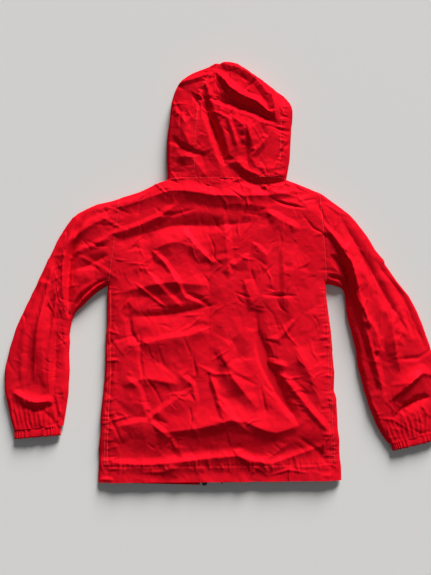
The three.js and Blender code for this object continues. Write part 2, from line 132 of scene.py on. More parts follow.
def along(points, shares):
    """Points at these shares of a polyline's length."""
    steps = np.linalg.norm(np.diff(points, axis=0), axis=1)
    length = np.concatenate([[0], np.cumsum(steps)])
    at = np.asarray(shares) * length[-1]
    return np.stack([np.interp(at, length, points[:, i]) for i in range(points.shape[1])], -1)


def smooth(points, count=36, tension=0.3):
    """A smooth curve through a polyline's points, resampled evenly. More tension keeps its corners."""
    padded = np.vstack([2 * points[0] - points[1], points, 2 * points[-1] - points[-2]])
    out = []
    for i in range(len(points) - 1):
        a, b, c, d = padded[i : i + 4]
        leave = (c - a) * (1 - tension) / 2
        arrive = (d - b) * (1 - tension) / 2
        for t in np.linspace(0, 1, 8, endpoint=False):
            far = t * t * (3 - 2 * t)
            out.append(b + (c - b) * far + leave * t * (1 - t) ** 2 - arrive * t * t * (1 - t))
    out.append(points[-1])
    return along(np.array(out), np.linspace(0, 1, count))


def ease(value, low, high):
    """From 0 at low to 1 at high, smooth at both ends."""
    t = np.clip((value - low) / (high - low), 0, 1)
    return t * t * (3 - 2 * t)


def corner(points, x, y):
    """The point of a loop that is furthest in a direction."""
    return points[int(np.argmax(points @ np.array([x, y])))]


SIDES = {"left": -1, "right": 1}
hem_low, hem_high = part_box("back_hem_band")
back_low, back_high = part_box("back_panel")
HEM_Y = hem_low.y
BAND_Y = hem_high.y
NECK_Y = back_high.y
back_loop = plan_loop("back_panel")

edges = {}
for side, way in SIDES.items():
    band = corner(back_loop, way, -4)
    neck = corner(back_loop, way, 8)
    run = stretch(back_loop, band, neck)
    turns = [run[0]]
    for a, b, c in zip(run, run[1:], run[2:]):
        before = b - a
        ahead = c - b
        if abs(before[0] * ahead[1] - before[1] * ahead[0]) > 1e-6:
            turns.append(b)
    turns.append(run[-1])
    hem = np.array([hem_low.x if way < 0 else hem_high.x, HEM_Y])
    edges[side] = dict(zip(("band", "underarm", "shoulder", "neck"), turns), hem=hem)

SHOULDER_SLIP = (4 * MM, -7 * MM)
CUFF_OVERLAP = 2.5 * MM  # the sleeve's end laps over its cuff
PAST_CUFF = 5 * MM
for side, way in SIDES.items():
    loop = plan_loop(f"{side}_sleeve_back_panel")
    cuff_low, cuff_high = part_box(f"{side}_cuff_casing")
    cuff_x = {-1: cuff_high.x, 1: cuff_low.x}[way]
    cuff_out = {-1: cuff_low.x, 1: cuff_high.x}[way]
    cuff_y = cuff_high.y + PAST_CUFF
    e = edges[side]
    under_end = (cuff_x, cuff_y - (way > 0) * (cuff_high.y - cuff_low.y))
    over_end = (cuff_out, cuff_y)
    e["inner"] = smooth(stretch(loop, e["underarm"], under_end), tension=0.6)
    e["outer"] = smooth(stretch(loop, e["shoulder"], over_end), tension=0.6)
    if side == "left":  # this shoulder has slipped down a little
        share = 1 - ease(np.linspace(0, 1, len(e["outer"])), 0.2, 0.6)
        e["outer"] += share[:, None] * np.array(SHOULDER_SLIP)
        e["shoulder"] = e["outer"][0]
    for edge in ("inner", "outer"):
        onward = e[edge][-1] - e[edge][-4]
        lap = e[edge][-1] + onward / np.linalg.norm(onward) * CUFF_OVERLAP
        e[edge] = np.vstack([e[edge], lap])

hood_names = ("hood_left_panel", "hood_center_panel", "hood_right_panel")
hood_lines = []
for name in hood_names:
    loop = plan_loop(name)
    start = corner(loop, -1, -8)
    hood_lines.append(smooth(stretch(loop, start, corner(loop, -1, 8))))
    end = smooth(stretch(loop, corner(loop, 1, -8), corner(loop, 1, 8)))
hood_lines.append(end)
HOOD_LIE = 0.98  # the standing cloth reaches a little less far than the flat panels
for line in hood_lines:
    line[:, 1] = NECK_Y + (line[:, 1] - NECK_Y) * HOOD_LIE
hood_low = np.min([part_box(n)[0][:2] for n in hood_names], axis=0)
hood_high = np.max([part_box(n)[1][:2] for n in hood_names], axis=0)
crown_corners = np.array([line[-1] for line in hood_lines])
CROWN_RISE = 0.09  # how far the crown bows out, as a share of each panel's width


def bowed(start, end, shares):
    """How far the crown stands out from the straight line between two of its corners."""
    way = end - start
    out = np.array([-way[1], way[0]])
    return (4 * shares * (1 - shares))[:, None] * out * CROWN_RISE


bow_shares = np.linspace(0, 1, 12)
crown = []
for a, b in zip(crown_corners, crown_corners[1:]):
    crown += list(a + bow_shares[:, None] * (b - a) + bowed(a, b, bow_shares))
crown = np.array(crown)
crown = crown[np.concatenate([[True], np.linalg.norm(np.diff(crown, axis=0), axis=1) > 1e-6])]

rims = [hood_lines[0], hood_lines[-1], crown]
for e in edges.values():
    rims += [np.array([e["hem"], e["band"], e["underarm"]]), np.array([e["shoulder"], e["neck"]])]
    rims += [e["inner"], e["outer"]]

known_distances = {}


def rim_distance(x, y):
    """Distance to the outline, where the upper and lower cloth meet. Kept for the next call."""
    key = (x.tobytes(), y.tobytes())
    if key not in known_distances:
        known_distances[key] = measure_rim(x.ravel(), y.ravel())
    return known_distances[key].reshape(x.shape)


def measure_rim(x, y):
    """Distance from each point to the nearest of the rims."""
    found = np.full(x.shape, 9.0)
    for line in rims:
        for a, b in zip(line, line[1:]):
            d = b - a
            t = np.clip(((x - a[0]) * d[0] + (y - a[1]) * d[1]) / (d @ d), 0, 1)
            found = np.minimum(found, np.hypot(x - a[0] - t * d[0], y - a[1] - t * d[1]))
    return found


# ---------------------------------------------------------------- the height map of the folds
MARGIN = 30 * MM
map_low = np.array(cad_bounds[0][:2]) - MARGIN
map_size = np.array(cad_bounds[1][:2]) + MARGIN - map_low
columns, rows = (int(n) for n in np.ceil(map_size / CELL) + 1)
map_x = map_low[0] + CELL * np.arange(columns)
map_y = map_low[1] + CELL * np.arange(rows)
folds = np.zeros((rows, columns))


def stamp(points, height, left, right=None, sharp=1.5, ends=0.18):
    """Raises a fold along a polyline. left and right are its widths on the two sides."""
    right = left if right is None else right
    reach = max(left, right)
    low = ((points.min(0) - reach - map_low) / CELL).astype(int)
    high = ((points.max(0) + reach - map_low) / CELL).astype(int) + 2
    low = np.maximum(low, 0)
    high = np.minimum(high, (columns, rows))
    if (high <= low).any():
        return
    x, y = np.meshgrid(map_x[low[0] : high[0]], map_y[low[1] : high[1]])
    lengths = np.linalg.norm(np.diff(points, axis=0), axis=1)
    total = lengths.sum()
    best = np.full(x.shape, 9.0)
    where = np.zeros(x.shape)
    turn = np.zeros(x.shape)
    done = 0.0
    for a, b, length in zip(points, points[1:], lengths):
        d = (b - a) / length
        t = np.clip((x - a[0]) * d[0] + (y - a[1]) * d[1], 0, length)
        far = np.hypot(x - a[0] - t * d[0], y - a[1] - t * d[1])
        closer = far < best
        best = np.where(closer, far, best)
        where = np.where(closer, (done + t) / total, where)
        turn = np.where(closer, d[0] * (y - a[1]) - d[1] * (x - a[0]), turn)
        done += length
    taper = np.clip(np.minimum(where, 1 - where) / ends, 0, 1) ** 0.7
    width = np.where(turn > 0, left, right) * (0.35 + 0.65 * taper)
    shape = np.clip(1 - best / width, 0, 1) ** sharp
    folds[low[1] : high[1], low[0] : high[0]] += height * taper * shape


def torso(u, v):
    """u from the left side to the right one, v from the hem to the neck seam."""
    return np.array([hem_low.x + u * (hem_high.x - hem_low.x), HEM_Y + v * (NECK_Y - HEM_Y)])


def hood(u, v):
    """u and v across the hood's box."""
    return hood_low + np.array([u, v]) * (hood_high - hood_low)


def sleeve(side):
    """u from the armhole to the cuff, v from the inner edge to the outer one."""

    def place(u, v):
        inner = along(edges[side]["inner"], [u])[0]
        outer = along(edges[side]["outer"], [u])[0]
        return inner + v * (outer - inner)

    return place


# Each fold: its height and its width on the left and on the right of its way, in mm, then its
# route in shares of its region. A negative height is a valley.
TORSO_FOLDS = [
    (5, 10, 13, [(0.0, 0.79), (0.13, 0.82), (0.25, 0.86), (0.33, 0.91)]),
    (4, 26, 12, [(0.53, 0.9), (0.64, 0.9), (0.74, 0.885)]),
    (3.5, 8, 12, [(-0.04, 0.89), (0.13, 0.92), (0.25, 0.97)]),
    (-3, 4, 6, [(0.34, 1.0), (0.44, 0.975), (0.53, 0.95)]),
    (-3, 4, 6, [(0.55, 0.985), (0.65, 0.97), (0.76, 0.94)]),
    (-2.5, 4, 4, [(0.81, 0.98), (0.81, 0.91)]),
    (-2.5, 4, 4, [(0.88, 0.97), (0.87, 0.92)]),
    (-2.5, 4, 5, [(0.92, 0.97), (0.95, 0.89)]),
    (5, 14, 6, [(0.7, 0.88), (0.78, 0.84), (0.86, 0.81)]),
    (5, 12, 4, [(0.53, 0.86), (0.54, 0.75), (0.55, 0.64)]),
    (-2, 4, 3, [(0.46, 1.0), (0.465, 0.7), (0.46, 0.32)]),
    (4.5, 8, 6, [(0.22, 0.74), (0.27, 0.7), (0.32, 0.64), (0.37, 0.57)]),
    (4, 8, 6, [(0.18, 0.68), (0.25, 0.62), (0.37, 0.53)]),
    (4, 8, 6, [(0.34, 0.82), (0.4, 0.76), (0.49, 0.69)]),
    (-3, 6, 6, [(0.12, 0.76), (0.18, 0.745), (0.25, 0.74)]),
    (3, 5, 7, [(0.13, 0.68), (0.22, 0.68)]),
    (-3, 5, 5, [(0.16, 0.77), (0.22, 0.8)]),
    (4, 7, 5, [(0.56, 0.68), (0.64, 0.73)]),
    (4, 7, 5, [(0.65, 0.77), (0.73, 0.71)]),
    (4, 6, 8, [(0.61, 0.64), (0.65, 0.55)]),
    (-3, 5, 5, [(0.56, 0.51), (0.65, 0.54), (0.68, 0.52), (0.72, 0.54)]),
    (3, 6, 8, [(0.78, 0.77), (0.785, 0.65), (0.78, 0.52)]),
    (3, 5, 7, [(0.1, 0.58), (0.17, 0.53)]),
    (-4, 8, 6, [(0.36, 0.6), (0.48, 0.55)]),
    (-4, 6, 10, [(0.12, 0.53), (0.13, 0.47), (0.19, 0.4)]),
    (-3, 5, 14, [(0.16, 0.45), (0.24, 0.455), (0.35, 0.475), (0.45, 0.5)]),
    (5, 9, 7, [(0.46, 0.34), (0.49, 0.27), (0.53, 0.16)]),
    (4, 8, 6, [(0.5, 0.27), (0.56, 0.19), (0.63, 0.15)]),
    (4, 8, 6, [(0.33, 0.34), (0.39, 0.3), (0.41, 0.23)]),
    (4, 8, 6, [(0.11, 0.33), (0.17, 0.29), (0.2, 0.2)]),
    (4.5, 9, 6, [(0.06, 0.17), (0.2, 0.19), (0.37, 0.28)]),
    (4, 8, 6, [(0.19, 0.2), (0.26, 0.16), (0.32, 0.12)]),
    (-6, 16, 12, [(0.66, 0.47), (0.69, 0.37), (0.77, 0.25), (0.83, 0.17)]),
    (5, 12, 8, [(0.76, 0.33), (0.87, 0.22), (0.96, 0.14)]),
    (4, 8, 5, [(0.7, 0.37), (0.79, 0.355)]),
    (4, 7, 7, [(0.74, 0.43), (0.83, 0.51)]),
    (3.5, 7, 5, [(0.55, 0.44), (0.53, 0.36)]),
    (-3, 5, 5, [(0.56, 0.44), (0.6, 0.37)]),
    (-3, 5, 6, [(0.91, 0.49), (0.94, 0.36)]),
    (3, 6, 6, [(0.07, 0.4), (0.14, 0.44)]),
    (3, 5, 9, [(0.3, 0.13), (0.34, 0.09), (0.37, 0.06)]),
    (3, 5, 8, [(0.55, 0.1), (0.6, 0.07), (0.63, 0.05)]),
    (3, 6, 8, [(0.66, 0.06), (0.72, 0.08), (0.78, 0.115)]),
]
HOOD_FOLDS = [
    (8, 10, 18, [(0.3, 0.99), (0.55, 0.93), (0.73, 0.81), (0.81, 0.68), (0.87, 0.46)]),
    (9, 16, 9, [(0.38, 0.88), (0.48, 0.73), (0.57, 0.65), (0.7, 0.59), (0.86, 0.45)]),
    (-8, 12, 14, [(0.34, 0.63), (0.48, 0.61), (0.58, 0.57), (0.7, 0.52), (0.84, 0.43)]),
    (6, 12, 8, [(0.06, 0.77), (0.24, 0.81), (0.36, 0.86)]),
    (-4, 6, 6, [(0.06, 0.78), (0.15, 0.71), (0.27, 0.6)]),
    (-9, 13, 14, [(0.29, 0.66), (0.33, 0.5), (0.38, 0.36), (0.42, 0.24), (0.45, 0.08)]),
    (5, 8, 8, [(0.31, 0.78), (0.34, 0.62)]),
    (5, 9, 9, [(0.05, 0.58), (0.17, 0.4)]),
    (-5, 7, 6, [(0.02, 0.37), (0.1, 0.25), (0.22, 0.19), (0.34, 0.16)]),
    (6, 20, 18, [(0.08, 0.16), (0.2, 0.15)]),
    (-4, 6, 6, [(0.61, 0.42), (0.62, 0.25), (0.625, 0.09)]),
    (5, 9, 7, [(0.79, 0.32), (0.71, 0.22), (0.63, 0.12)]),
    (5, 14, 8, [(0.52, 0.14), (0.6, 0.05), (0.72, -0.01), (0.86, 0.0), (0.97, 0.05)]),
    (-6, 5, 7, [(0.48, 0.1), (0.57, 0.0), (0.7, -0.06), (0.88, -0.04), (1.0, 0.0)]),
    (4, 7, 7, [(0.46, 0.5), (0.52, 0.34), (0.55, 0.2)]),
]
LEFT_SLEEVE_FOLDS = [
    (4, 12, 8, [(0.0, 0.85), (0.12, 0.8), (0.25, 0.75)]),
    (4, 9, 9, [(0.0, 0.55), (0.1, 0.52), (0.22, 0.6)]),
    (5, 18, 5, [(0.36, 0.85), (0.39, 0.5), (0.38, 0.08)]),
    (4, 13, 11, [(0.48, 0.62), (0.6, 0.5), (0.72, 0.38), (0.83, 0.3)]),
    (3.5, 10, 10, [(0.58, 0.85), (0.7, 0.75), (0.82, 0.7)]),
    (4, 9, 5, [(0.84, 0.88), (0.89, 0.65), (0.88, 0.42), (0.85, 0.2)]),
    (-3, 5, 7, [(0.9, 0.8), (0.92, 0.5), (0.89, 0.22)]),
]
RIGHT_SLEEVE_FOLDS = [
    (8, 12, 9, [(0.0, 0.62), (0.12, 0.4), (0.3, 0.24), (0.5, 0.2), (0.78, 0.2)]),
    (3, 7, 5, [(0.12, 0.45), (0.13, 0.62)]),
    (3.5, 7, 6, [(0.2, 0.5), (0.3, 0.45)]),
    (3.5, 7, 6, [(0.2, 0.62), (0.32, 0.55)]),
    (4, 8, 8, [(0.42, 0.35), (0.52, 0.33), (0.6, 0.3)]),
    (4, 9, 6, [(0.6, 0.35), (0.54, 0.55), (0.49, 0.78)]),
    (-4, 7, 7, [(0.52, 0.86), (0.64, 0.8)]),
    (3, 6, 6, [(0.6, 0.55), (0.57, 0.7)]),
    (5, 12, 5, [(0.82, 0.35), (0.76, 0.55), (0.77, 0.72), (0.79, 0.88)]),
    (-4, 7, 8, [(0.86, 0.4), (0.84, 0.65), (0.86, 0.85)]),
]
# Broad soft waves, in the same form
TORSO_WAVES = [
    (7, 45, 26, [(-0.1, 0.88), (0.1, 0.9), (0.3, 0.95), (0.5, 0.93), (0.72, 0.93), (0.9, 0.95)]),
    (-6, 26, 40, [(0.05, 0.77), (0.3, 0.83), (0.5, 0.83), (0.68, 0.84)]),
    (5, 40, 26, [(0.2, 0.74), (0.32, 0.77), (0.42, 0.74)]),
    (6, 36, 22, [(0.08, 0.6), (0.28, 0.63), (0.46, 0.62)]),
    (-7, 18, 34, [(0.14, 0.52), (0.3, 0.53), (0.5, 0.56)]),
    (6, 30, 40, [(0.1, 0.42), (0.3, 0.45), (0.48, 0.47)]),
    (5, 34, 30, [(0.84, 0.76), (0.8, 0.6), (0.8, 0.5)]),
    (-9, 26, 34, [(0.66, 0.55), (0.68, 0.42), (0.73, 0.3), (0.8, 0.2)]),
    (7, 34, 26, [(0.5, 0.42), (0.56, 0.32), (0.66, 0.22)]),
    (6, 40, 30, [(0.82, 0.42), (0.88, 0.32), (0.93, 0.22)]),
    (5, 30, 26, [(0.1, 0.3), (0.2, 0.32), (0.34, 0.3)]),
    (7, 44, 22, [(0.22, 0.15), (0.4, 0.165), (0.58, 0.19), (0.72, 0.15), (0.86, 0.18)]),
    (6, 15, 30, [(-0.05, 0.07), (0.2, 0.055), (0.4, 0.07), (0.58, 0.08), (0.7, 0.055), (0.97, 0.12)]),
]
HOOD_WAVES = [
    (6, 24, 30, [(0.4, 0.95), (0.65, 0.85), (0.8, 0.65)]),
    (-6, 16, 24, [(0.36, 0.68), (0.55, 0.62), (0.8, 0.5)]),
    (5, 26, 22, [(0.5, 0.48), (0.62, 0.36), (0.68, 0.2)]),
    (-6, 18, 18, [(0.3, 0.6), (0.38, 0.36), (0.44, 0.1)]),
    (5, 24, 20, [(0.06, 0.5), (0.16, 0.3), (0.2, 0.14)]),
    (4, 30, 16, [(0.6, 0.1), (0.78, 0.05), (0.95, 0.1)]),
]
LEFT_SLEEVE_WAVES = [
    (6, 26, 20, [(0.0, 0.78), (0.1, 0.75), (0.22, 0.75)]),
    (-6, 18, 22, [(0.02, 0.35), (0.12, 0.35), (0.24, 0.42)]),
    (5, 20, 14, [(0.02, 0.05), (0.12, 0.08), (0.24, 0.1)]),
    (-9, 18, 6, [(0.14, 0.95), (0.23, 0.62), (0.29, 0.3), (0.34, 0.02)]),
    (8, 6, 22, [(0.16, 0.98), (0.26, 0.66), (0.32, 0.32), (0.37, 0.0)]),
    (-9, 9, 8, [(-0.02, 0.07), (0.08, 0.08), (0.2, 0.08), (0.34, 0.07)]),
    (5, 9, 12, [(0.33, 0.84), (0.46, 0.68), (0.62, 0.57), (0.8, 0.5)]),
    (5, 8, 10, [(0.36, 0.5), (0.5, 0.36), (0.66, 0.32), (0.84, 0.26)]),
    (4, 7, 9, [(0.28, 0.95), (0.4, 0.88), (0.55, 0.82), (0.72, 0.84)]),
    (6, 22, 24, [(0.45, 0.68), (0.6, 0.55), (0.8, 0.45)]),
    (-4, 14, 16, [(0.5, 0.3), (0.65, 0.22), (0.82, 0.2)]),
    (5, 18, 12, [(0.86, 0.85), (0.88, 0.5), (0.86, 0.15)]),
]
RIGHT_SLEEVE_WAVES = [
    (7, 20, 14, [(0.0, 0.62), (0.12, 0.45), (0.3, 0.3), (0.6, 0.28)]),
    (-8, 14, 20, [(0.02, 0.3), (0.1, 0.26), (0.2, 0.16)]),
    (-6, 18, 24, [(0.08, 0.85), (0.25, 0.72), (0.45, 0.7), (0.6, 0.75)]),
    (-9, 8, 9, [(-0.02, 0.08), (0.08, 0.08), (0.2, 0.07)]),
    (-4, 12, 12, [(0.14, 0.12), (0.25, 0.08), (0.4, 0.05)]),
    (-6, 16, 20, [(0.3, 0.86), (0.5, 0.9), (0.7, 0.9)]),
    (5, 18, 18, [(0.5, 0.6), (0.62, 0.5), (0.72, 0.5)]),
    (9, 26, 10, [(0.8, 0.25), (0.77, 0.5), (0.76, 0.75), (0.8, 0.95)]),
    (-7, 8, 18, [(0.88, 0.25), (0.85, 0.5), (0.86, 0.85)]),
]
REGIONS = (torso, hood, sleeve("left"), sleeve("right"))
WAVES = (TORSO_WAVES, HOOD_WAVES, LEFT_SLEEVE_WAVES, RIGHT_SLEEVE_WAVES)
FOLDS = (TORSO_FOLDS, HOOD_FOLDS, LEFT_SLEEVE_FOLDS, RIGHT_SLEEVE_FOLDS)
WAVE_SHARE = 1.15  # of a wave's listed height
for place, listed in zip(REGIONS, WAVES):
    for height, left_width, right_width, route in listed:
        points = along(smooth(np.array([place(u, v) for u, v in route])), np.linspace(0, 1, 16))
        stamp(points, WAVE_SHARE * height * MM, left_width * MM, right_width * MM, 1.6, 0.4)

FOLD_STEP = 8 * MM  # between two points of a crest
CREST_SHARE = 0.85  # of a fold's listed height, the rest is in the waves
CREST_CLEAR = 6 * MM
FACET_SIZES = ((20 * MM, 1.4 * MM), (9 * MM, 0.4 * MM), (5 * MM, 0.16 * MM))  # size and tilt


def fold_points(points, height, left, right):
    """A fold's crest and its foot on both sides, as (x, y, height)."""
    length = np.linalg.norm(np.diff(points, axis=0), axis=1).sum()
    shares = np.linspace(0, 1, max(2, int(length / FOLD_STEP)) + 1)
    line = along(points, shares)
    ways = np.gradient(line, axis=0)
    ways /= np.linalg.norm(ways, axis=1)[:, None]
    taper = np.clip(np.minimum(shares, 1 - shares) / 0.2 + 0.15, 0, 1)
    crest = [(*p, height * t * rng.uniform(0.8, 1.15)) for p, t in zip(line, taper)]
    foot = []
    for p, way, t in list(zip(line, ways, taper))[::2]:
        aside = np.array([-way[1], way[0]]) * (0.45 + 0.55 * t)
        foot.append((*(p + aside * left), -0.1 * height))
        foot.append((*(p - aside * right), -0.1 * height))
    return crest, foot


def spread_points(kept, size, tilt):
    """Points scattered a facet's size apart, clear of the kept ones, at random heights."""
    out = []
    for y in np.arange(map_y[0], map_y[-1], size):
        for x in np.arange(map_x[0], map_x[-1], size):
            place = np.array([x, y]) + rng.uniform(-0.42, 0.42, 2) * size
            height = rng.uniform(-1, 1) * tilt
            if not len(kept) or np.hypot(*(kept[:, :2] - place).T).min() > 0.6 * size:
                out.append((*place, height))
    return out


def rasterize(points):
    """The height map of flat triangles between the points."""
    found = triangulate([Vector(p[:2]) for p in points], [], [], 0, 1e-6)
    corners = found[0]
    triangles = found[2]
    origins = found[3]
    heights = [points[o[0]][2] if o else 0 for o in origins]
    field = np.zeros((rows, columns))
    for triangle in triangles:
        a, b, c = (np.array(corners[i]) for i in triangle)
        low = np.floor((np.min([a, b, c], 0) - map_low) / CELL).astype(int)
        high = np.ceil((np.max([a, b, c], 0) - map_low) / CELL).astype(int) + 1
        low = np.maximum(low, 0)
        high = np.minimum(high, (columns, rows))
        if (high <= low).any():
            continue
        x, y = np.meshgrid(map_x[low[0] : high[0]], map_y[low[1] : high[1]])
        area = (b[0] - a[0]) * (c[1] - a[1]) - (c[0] - a[0]) * (b[1] - a[1])
        u = ((x - a[0]) * (c[1] - a[1]) - (c[0] - a[0]) * (y - a[1])) / area
        v = ((b[0] - a[0]) * (y - a[1]) - (x - a[0]) * (b[1] - a[1])) / area
        inside = (u >= -1e-6) & (v >= -1e-6) & (u + v <= 1 + 1e-6)
        value = heights[triangle[0]] * (1 - u - v)
        value = value + heights[triangle[1]] * u + heights[triangle[2]] * v
        window = field[low[1] : high[1], low[0] : high[0]]
        window[inside] = value[inside]
    return field


crests = []
feet = []
for place, listed in zip(REGIONS, FOLDS):
    for height, left_width, right_width, route in listed:
        points = np.array([place(u, v) for u, v in route])
        rise = height * CREST_SHARE * MM
        crest, foot = fold_points(points, rise, left_width * MM, right_width * MM)
        crests += crest
        feet += foot
crest_plan = np.array(crests)[:, :2]
clear_feet = [f for f in feet if np.hypot(*(crest_plan - f[:2]).T).min() > CREST_CLEAR]
main_points = crests + clear_feet
main_points += spread_points(np.array(main_points), *FACET_SIZES[0])
folds += rasterize(main_points)
for size, tilt in FACET_SIZES[1:]:
    folds += rasterize(spread_points(np.zeros((0, 3)), size, tilt))


WIDEST_CRUMPLE = 14 * MM


def crumple(place, count, longest, tallest, spread, slant=-0.9, stray=0.8):
    """Sharp creases of both signs over a region, mostly at one slant, in radians from X."""
    for _ in range(count):
        middle = place(*rng.uniform(-0.02, 1.02, 2))
        turn = rng.normal(slant, stray)
        length = longest * rng.uniform(0.3, 1)
        way = np.array([math.cos(turn), math.sin(turn)]) * length / 2
        bend = np.array([-way[1], way[0]]) * rng.uniform(-0.3, 0.3)
        height = tallest * rng.uniform(0.3, 1) * rng.choice([-1, 1])
        width = min(length * rng.uniform(*spread), WIDEST_CRUMPLE)
        route = np.array([middle - way, middle + bend, middle + way])
        stamp(route, height, width, width * rng.uniform(0.5, 1.5), sharp=1.1, ends=0.4)


CRUMPLED = (1.0, 0.45, 0.3, 0.35)  # each region's share of the crumples
# How many, their greatest length and height, and their widths beside their lengths
CRUMPLES = (
    (60, 110 * MM, 3 * MM, (0.04, 0.07)),
    (190, 50 * MM, 2 * MM, (0.06, 0.1)),
    (330, 24 * MM, 0.8 * MM, (0.12, 0.17)),
)
for place, share in zip(REGIONS, CRUMPLED):
    for count, longest, tallest, spread in CRUMPLES:
        crumple(place, int(count * share), longest, tallest, spread)

# Seams sink in, with a pucker every few millimetres
SEAM_WIDTH = 4 * MM
PUCKER_PITCH = 7.5 * MM
wrap_lines = {}
for side, way in SIDES.items():
    e = edges[side]
    inward = np.array([-way * SIDE_WRAP, 0])
    wrap_lines[side] = np.array([e["hem"] + inward, e["band"] + inward, e["underarm"] + inward * 0.5])
armholes = [np.array([e["underarm"], e["shoulder"]]) for e in edges.values()]
neck_line = np.array([edges["left"]["neck"], edges["right"]["neck"]])
band_line = np.array([edges["left"]["band"], edges["right"]["band"]])
STRONG = 1.8 * MM  # puckers
FAINT = 0.4 * MM
DEEP = -1.1 * MM  # seams
SHALLOW = -0.3 * MM
# Each seam's line, its depth, its puckers' height and how far they reach
seams = [(line, DEEP, STRONG, 2) for line in wrap_lines.values()]
seams += [(line, SHALLOW, FAINT, 0.7) for line in armholes]
seams += [(neck_line, SHALLOW, 0.8 * MM, 0.9), (band_line, SHALLOW, 1.5 * MM, 1.6)]
seams += [(hood_lines[1], SHALLOW, 0.7 * MM, 0.8), (hood_lines[2], DEEP, STRONG, 1.2)]
for line, depth, pucker, reach in seams:
    stamp(line, depth, SEAM_WIDTH, sharp=1.2, ends=0.01)
    length = np.linalg.norm(np.diff(line, axis=0), axis=1).sum()
    for share in np.arange(0.01, 0.99, PUCKER_PITCH / length):
        share = min(share + rng.uniform(-0.5, 0.5) * PUCKER_PITCH / length, 0.99)
        here, there = along(line, [share, share + 0.004])
        across = np.array([here[1] - there[1], there[0] - here[0]])
        across = across / np.linalg.norm(across) * reach * MM
        skew = (there - here) / np.linalg.norm(there - here) * rng.uniform(-6, 6) * MM
        before = across * rng.uniform(2, 11)
        after = across * rng.uniform(2, 11)
        route = np.array([here - before + skew, here, here + after + 0.4 * skew])
        stamp(route, pucker * rng.uniform(0.2, 1.3), rng.uniform(2.4, 4.2) * MM, sharp=1, ends=0.45)

# Cloth gathered into the cuffs
SLEEVE_GATHERS = 11
GATHER_WIDTH = 4 * MM
for side in SIDES:
    place = sleeve(side)
    for share in np.linspace(0.08, 0.92, SLEEVE_GATHERS):
        start = place(0.9 - 0.05 * rng.uniform(), share + rng.uniform(-0.05, 0.05))
        route = np.array([start, place(0.95, share), place(1, share)])
        stamp(route, rng.uniform(1.2, 2.4) * MM, GATHER_WIDTH, sharp=1, ends=0.3)

# The outline wavers a little, as cloth does
WAVER = 2.6 * MM
WAVER_SIZE = 34 * MM
waver_maps = [rasterize(spread_points(np.zeros((0, 3)), WAVER_SIZE, WAVER)) for _ in "xy"]


def read_map(field, x, y):
    """A height map's value at each point, between its cells."""
    i = np.clip((x - map_low[0]) / CELL, 0, columns - 1.001)
    j = np.clip((y - map_low[1]) / CELL, 0, rows - 1.001)
    i0 = i.astype(int)
    j0 = j.astype(int)
    a = i - i0
    b = j - j0
    low = field[j0, i0] * (1 - a) + field[j0, i0 + 1] * a
    high = field[j0 + 1, i0] * (1 - a) + field[j0 + 1, i0 + 1] * a
    return low * (1 - b) + high * b


HOOD_RISE = (NECK_Y - 50 * MM, NECK_Y + 120 * MM)  # the cloth rises to the hood's height here
HEM_RISE = (HEM_Y + 42 * MM, HEM_Y + 96 * MM)  # and from the hem's height to the body's here
BETWEEN_SLEEVES = 0.25


def full_height(x, y):
    """The cloth's height well inside the outline, before its folds."""
    height = BODY_HEIGHT + (HOOD_HEIGHT - BODY_HEIGHT) * ease(y, *HOOD_RISE)
    hem_share = ease(y, *HEM_RISE)
    central = (np.abs(x) < BETWEEN_SLEEVES) & (y < 0)
    height = np.where(central, HEM_HEIGHT + (height - HEM_HEIGHT) * hem_share, height)
    for e in edges.values():
        cuff = (e["inner"][-1] + e["outer"][-1]) / 2
        height = np.minimum(height, CUFF_HEIGHT + 0.05 * np.hypot(x - cuff[0], y - cuff[1]))
    return height


LOWEST_HEM = 11.6 * MM  # above the zip's slider and box
LOWEST_OVER_BAGS = 12.6 * MM
BAGS_FROM = BAND_Y - 3 * MM
BAGS_TO = BAND_Y + 30 * MM  # the back cloth has its own least height from here up
LEAST_HEIGHT = 6 * MM
MIDDLE_HALF = 0.18  # half the width that holds the zips, the bags and the storm flap
FOOT_HALF = 34 * MM
zip_foot = (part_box("zip_retainer_box")[0].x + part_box("zip_insertion_pin")[1].x) / 2
body_middle = torso(0.5, 0)[0]


def over_rim(x, y, height):
    """The height that a cloth of this full height has, where it comes down to the outline."""
    d = rim_distance(x, y)
    rise = ROLL_SHARE * (1 - (1 - np.clip(d / ROLL, 0, 1)) ** 2)
    rise = rise + (1 - ROLL_SHARE) * np.sqrt(ease(d, -SLOPE, SLOPE) * 2 - 1 + 1e-9)
    return RIM_HEIGHT + (height - RIM_HEIGHT) * rise


def cover_form(x, y):
    """Height of the upper cloth without its folds."""
    return over_rim(x, y, full_height(x, y))


def cover(x, y):
    """Height of the upper cloth."""
    height = full_height(x, y) + read_map(folds, x, y)
    middle = np.abs(x - body_middle) < MIDDLE_HALF
    least = np.where(middle & (y > BAGS_TO), LOWEST_COVER, LEAST_HEIGHT)
    bags = middle & (y > BAGS_FROM) & (y <= BAGS_TO)
    foot = np.abs(x - zip_foot) < FOOT_HALF
    least = np.where(bags, LOWEST_OVER_BAGS, np.where(foot, np.maximum(least, LOWEST_HEM), least))
    return over_rim(x, y, np.maximum(height, least))


BAND_STEP = 0.5 * MM  # the hem band is doubled, and stands this proud of the back panel
STEP_FROM = BAND_Y - 3 * MM


def hem_cover(x, y):
    """Height of the hem band."""
    return cover(x, y) + BAND_STEP * (1 - ease(y, STEP_FROM, BAND_Y))


FRONT_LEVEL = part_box("left_front_panel")[0].z + 1.2 * MM
UNDER_FOLDS = 0.4  # the lower cloth's folds beside the upper ones
UNDER_TALLEST = 7 * MM
ZIPPED_X = (150 * MM, 190 * MM)  # the lower cloth leaves the front's level between these
ZIPPED_Y = (NECK_Y - 4 * MM, NECK_Y + 20 * MM)
SOFT_FROM_RIM = (6 * MM, 30 * MM)
LAYER_GAP = 0.05 * MM


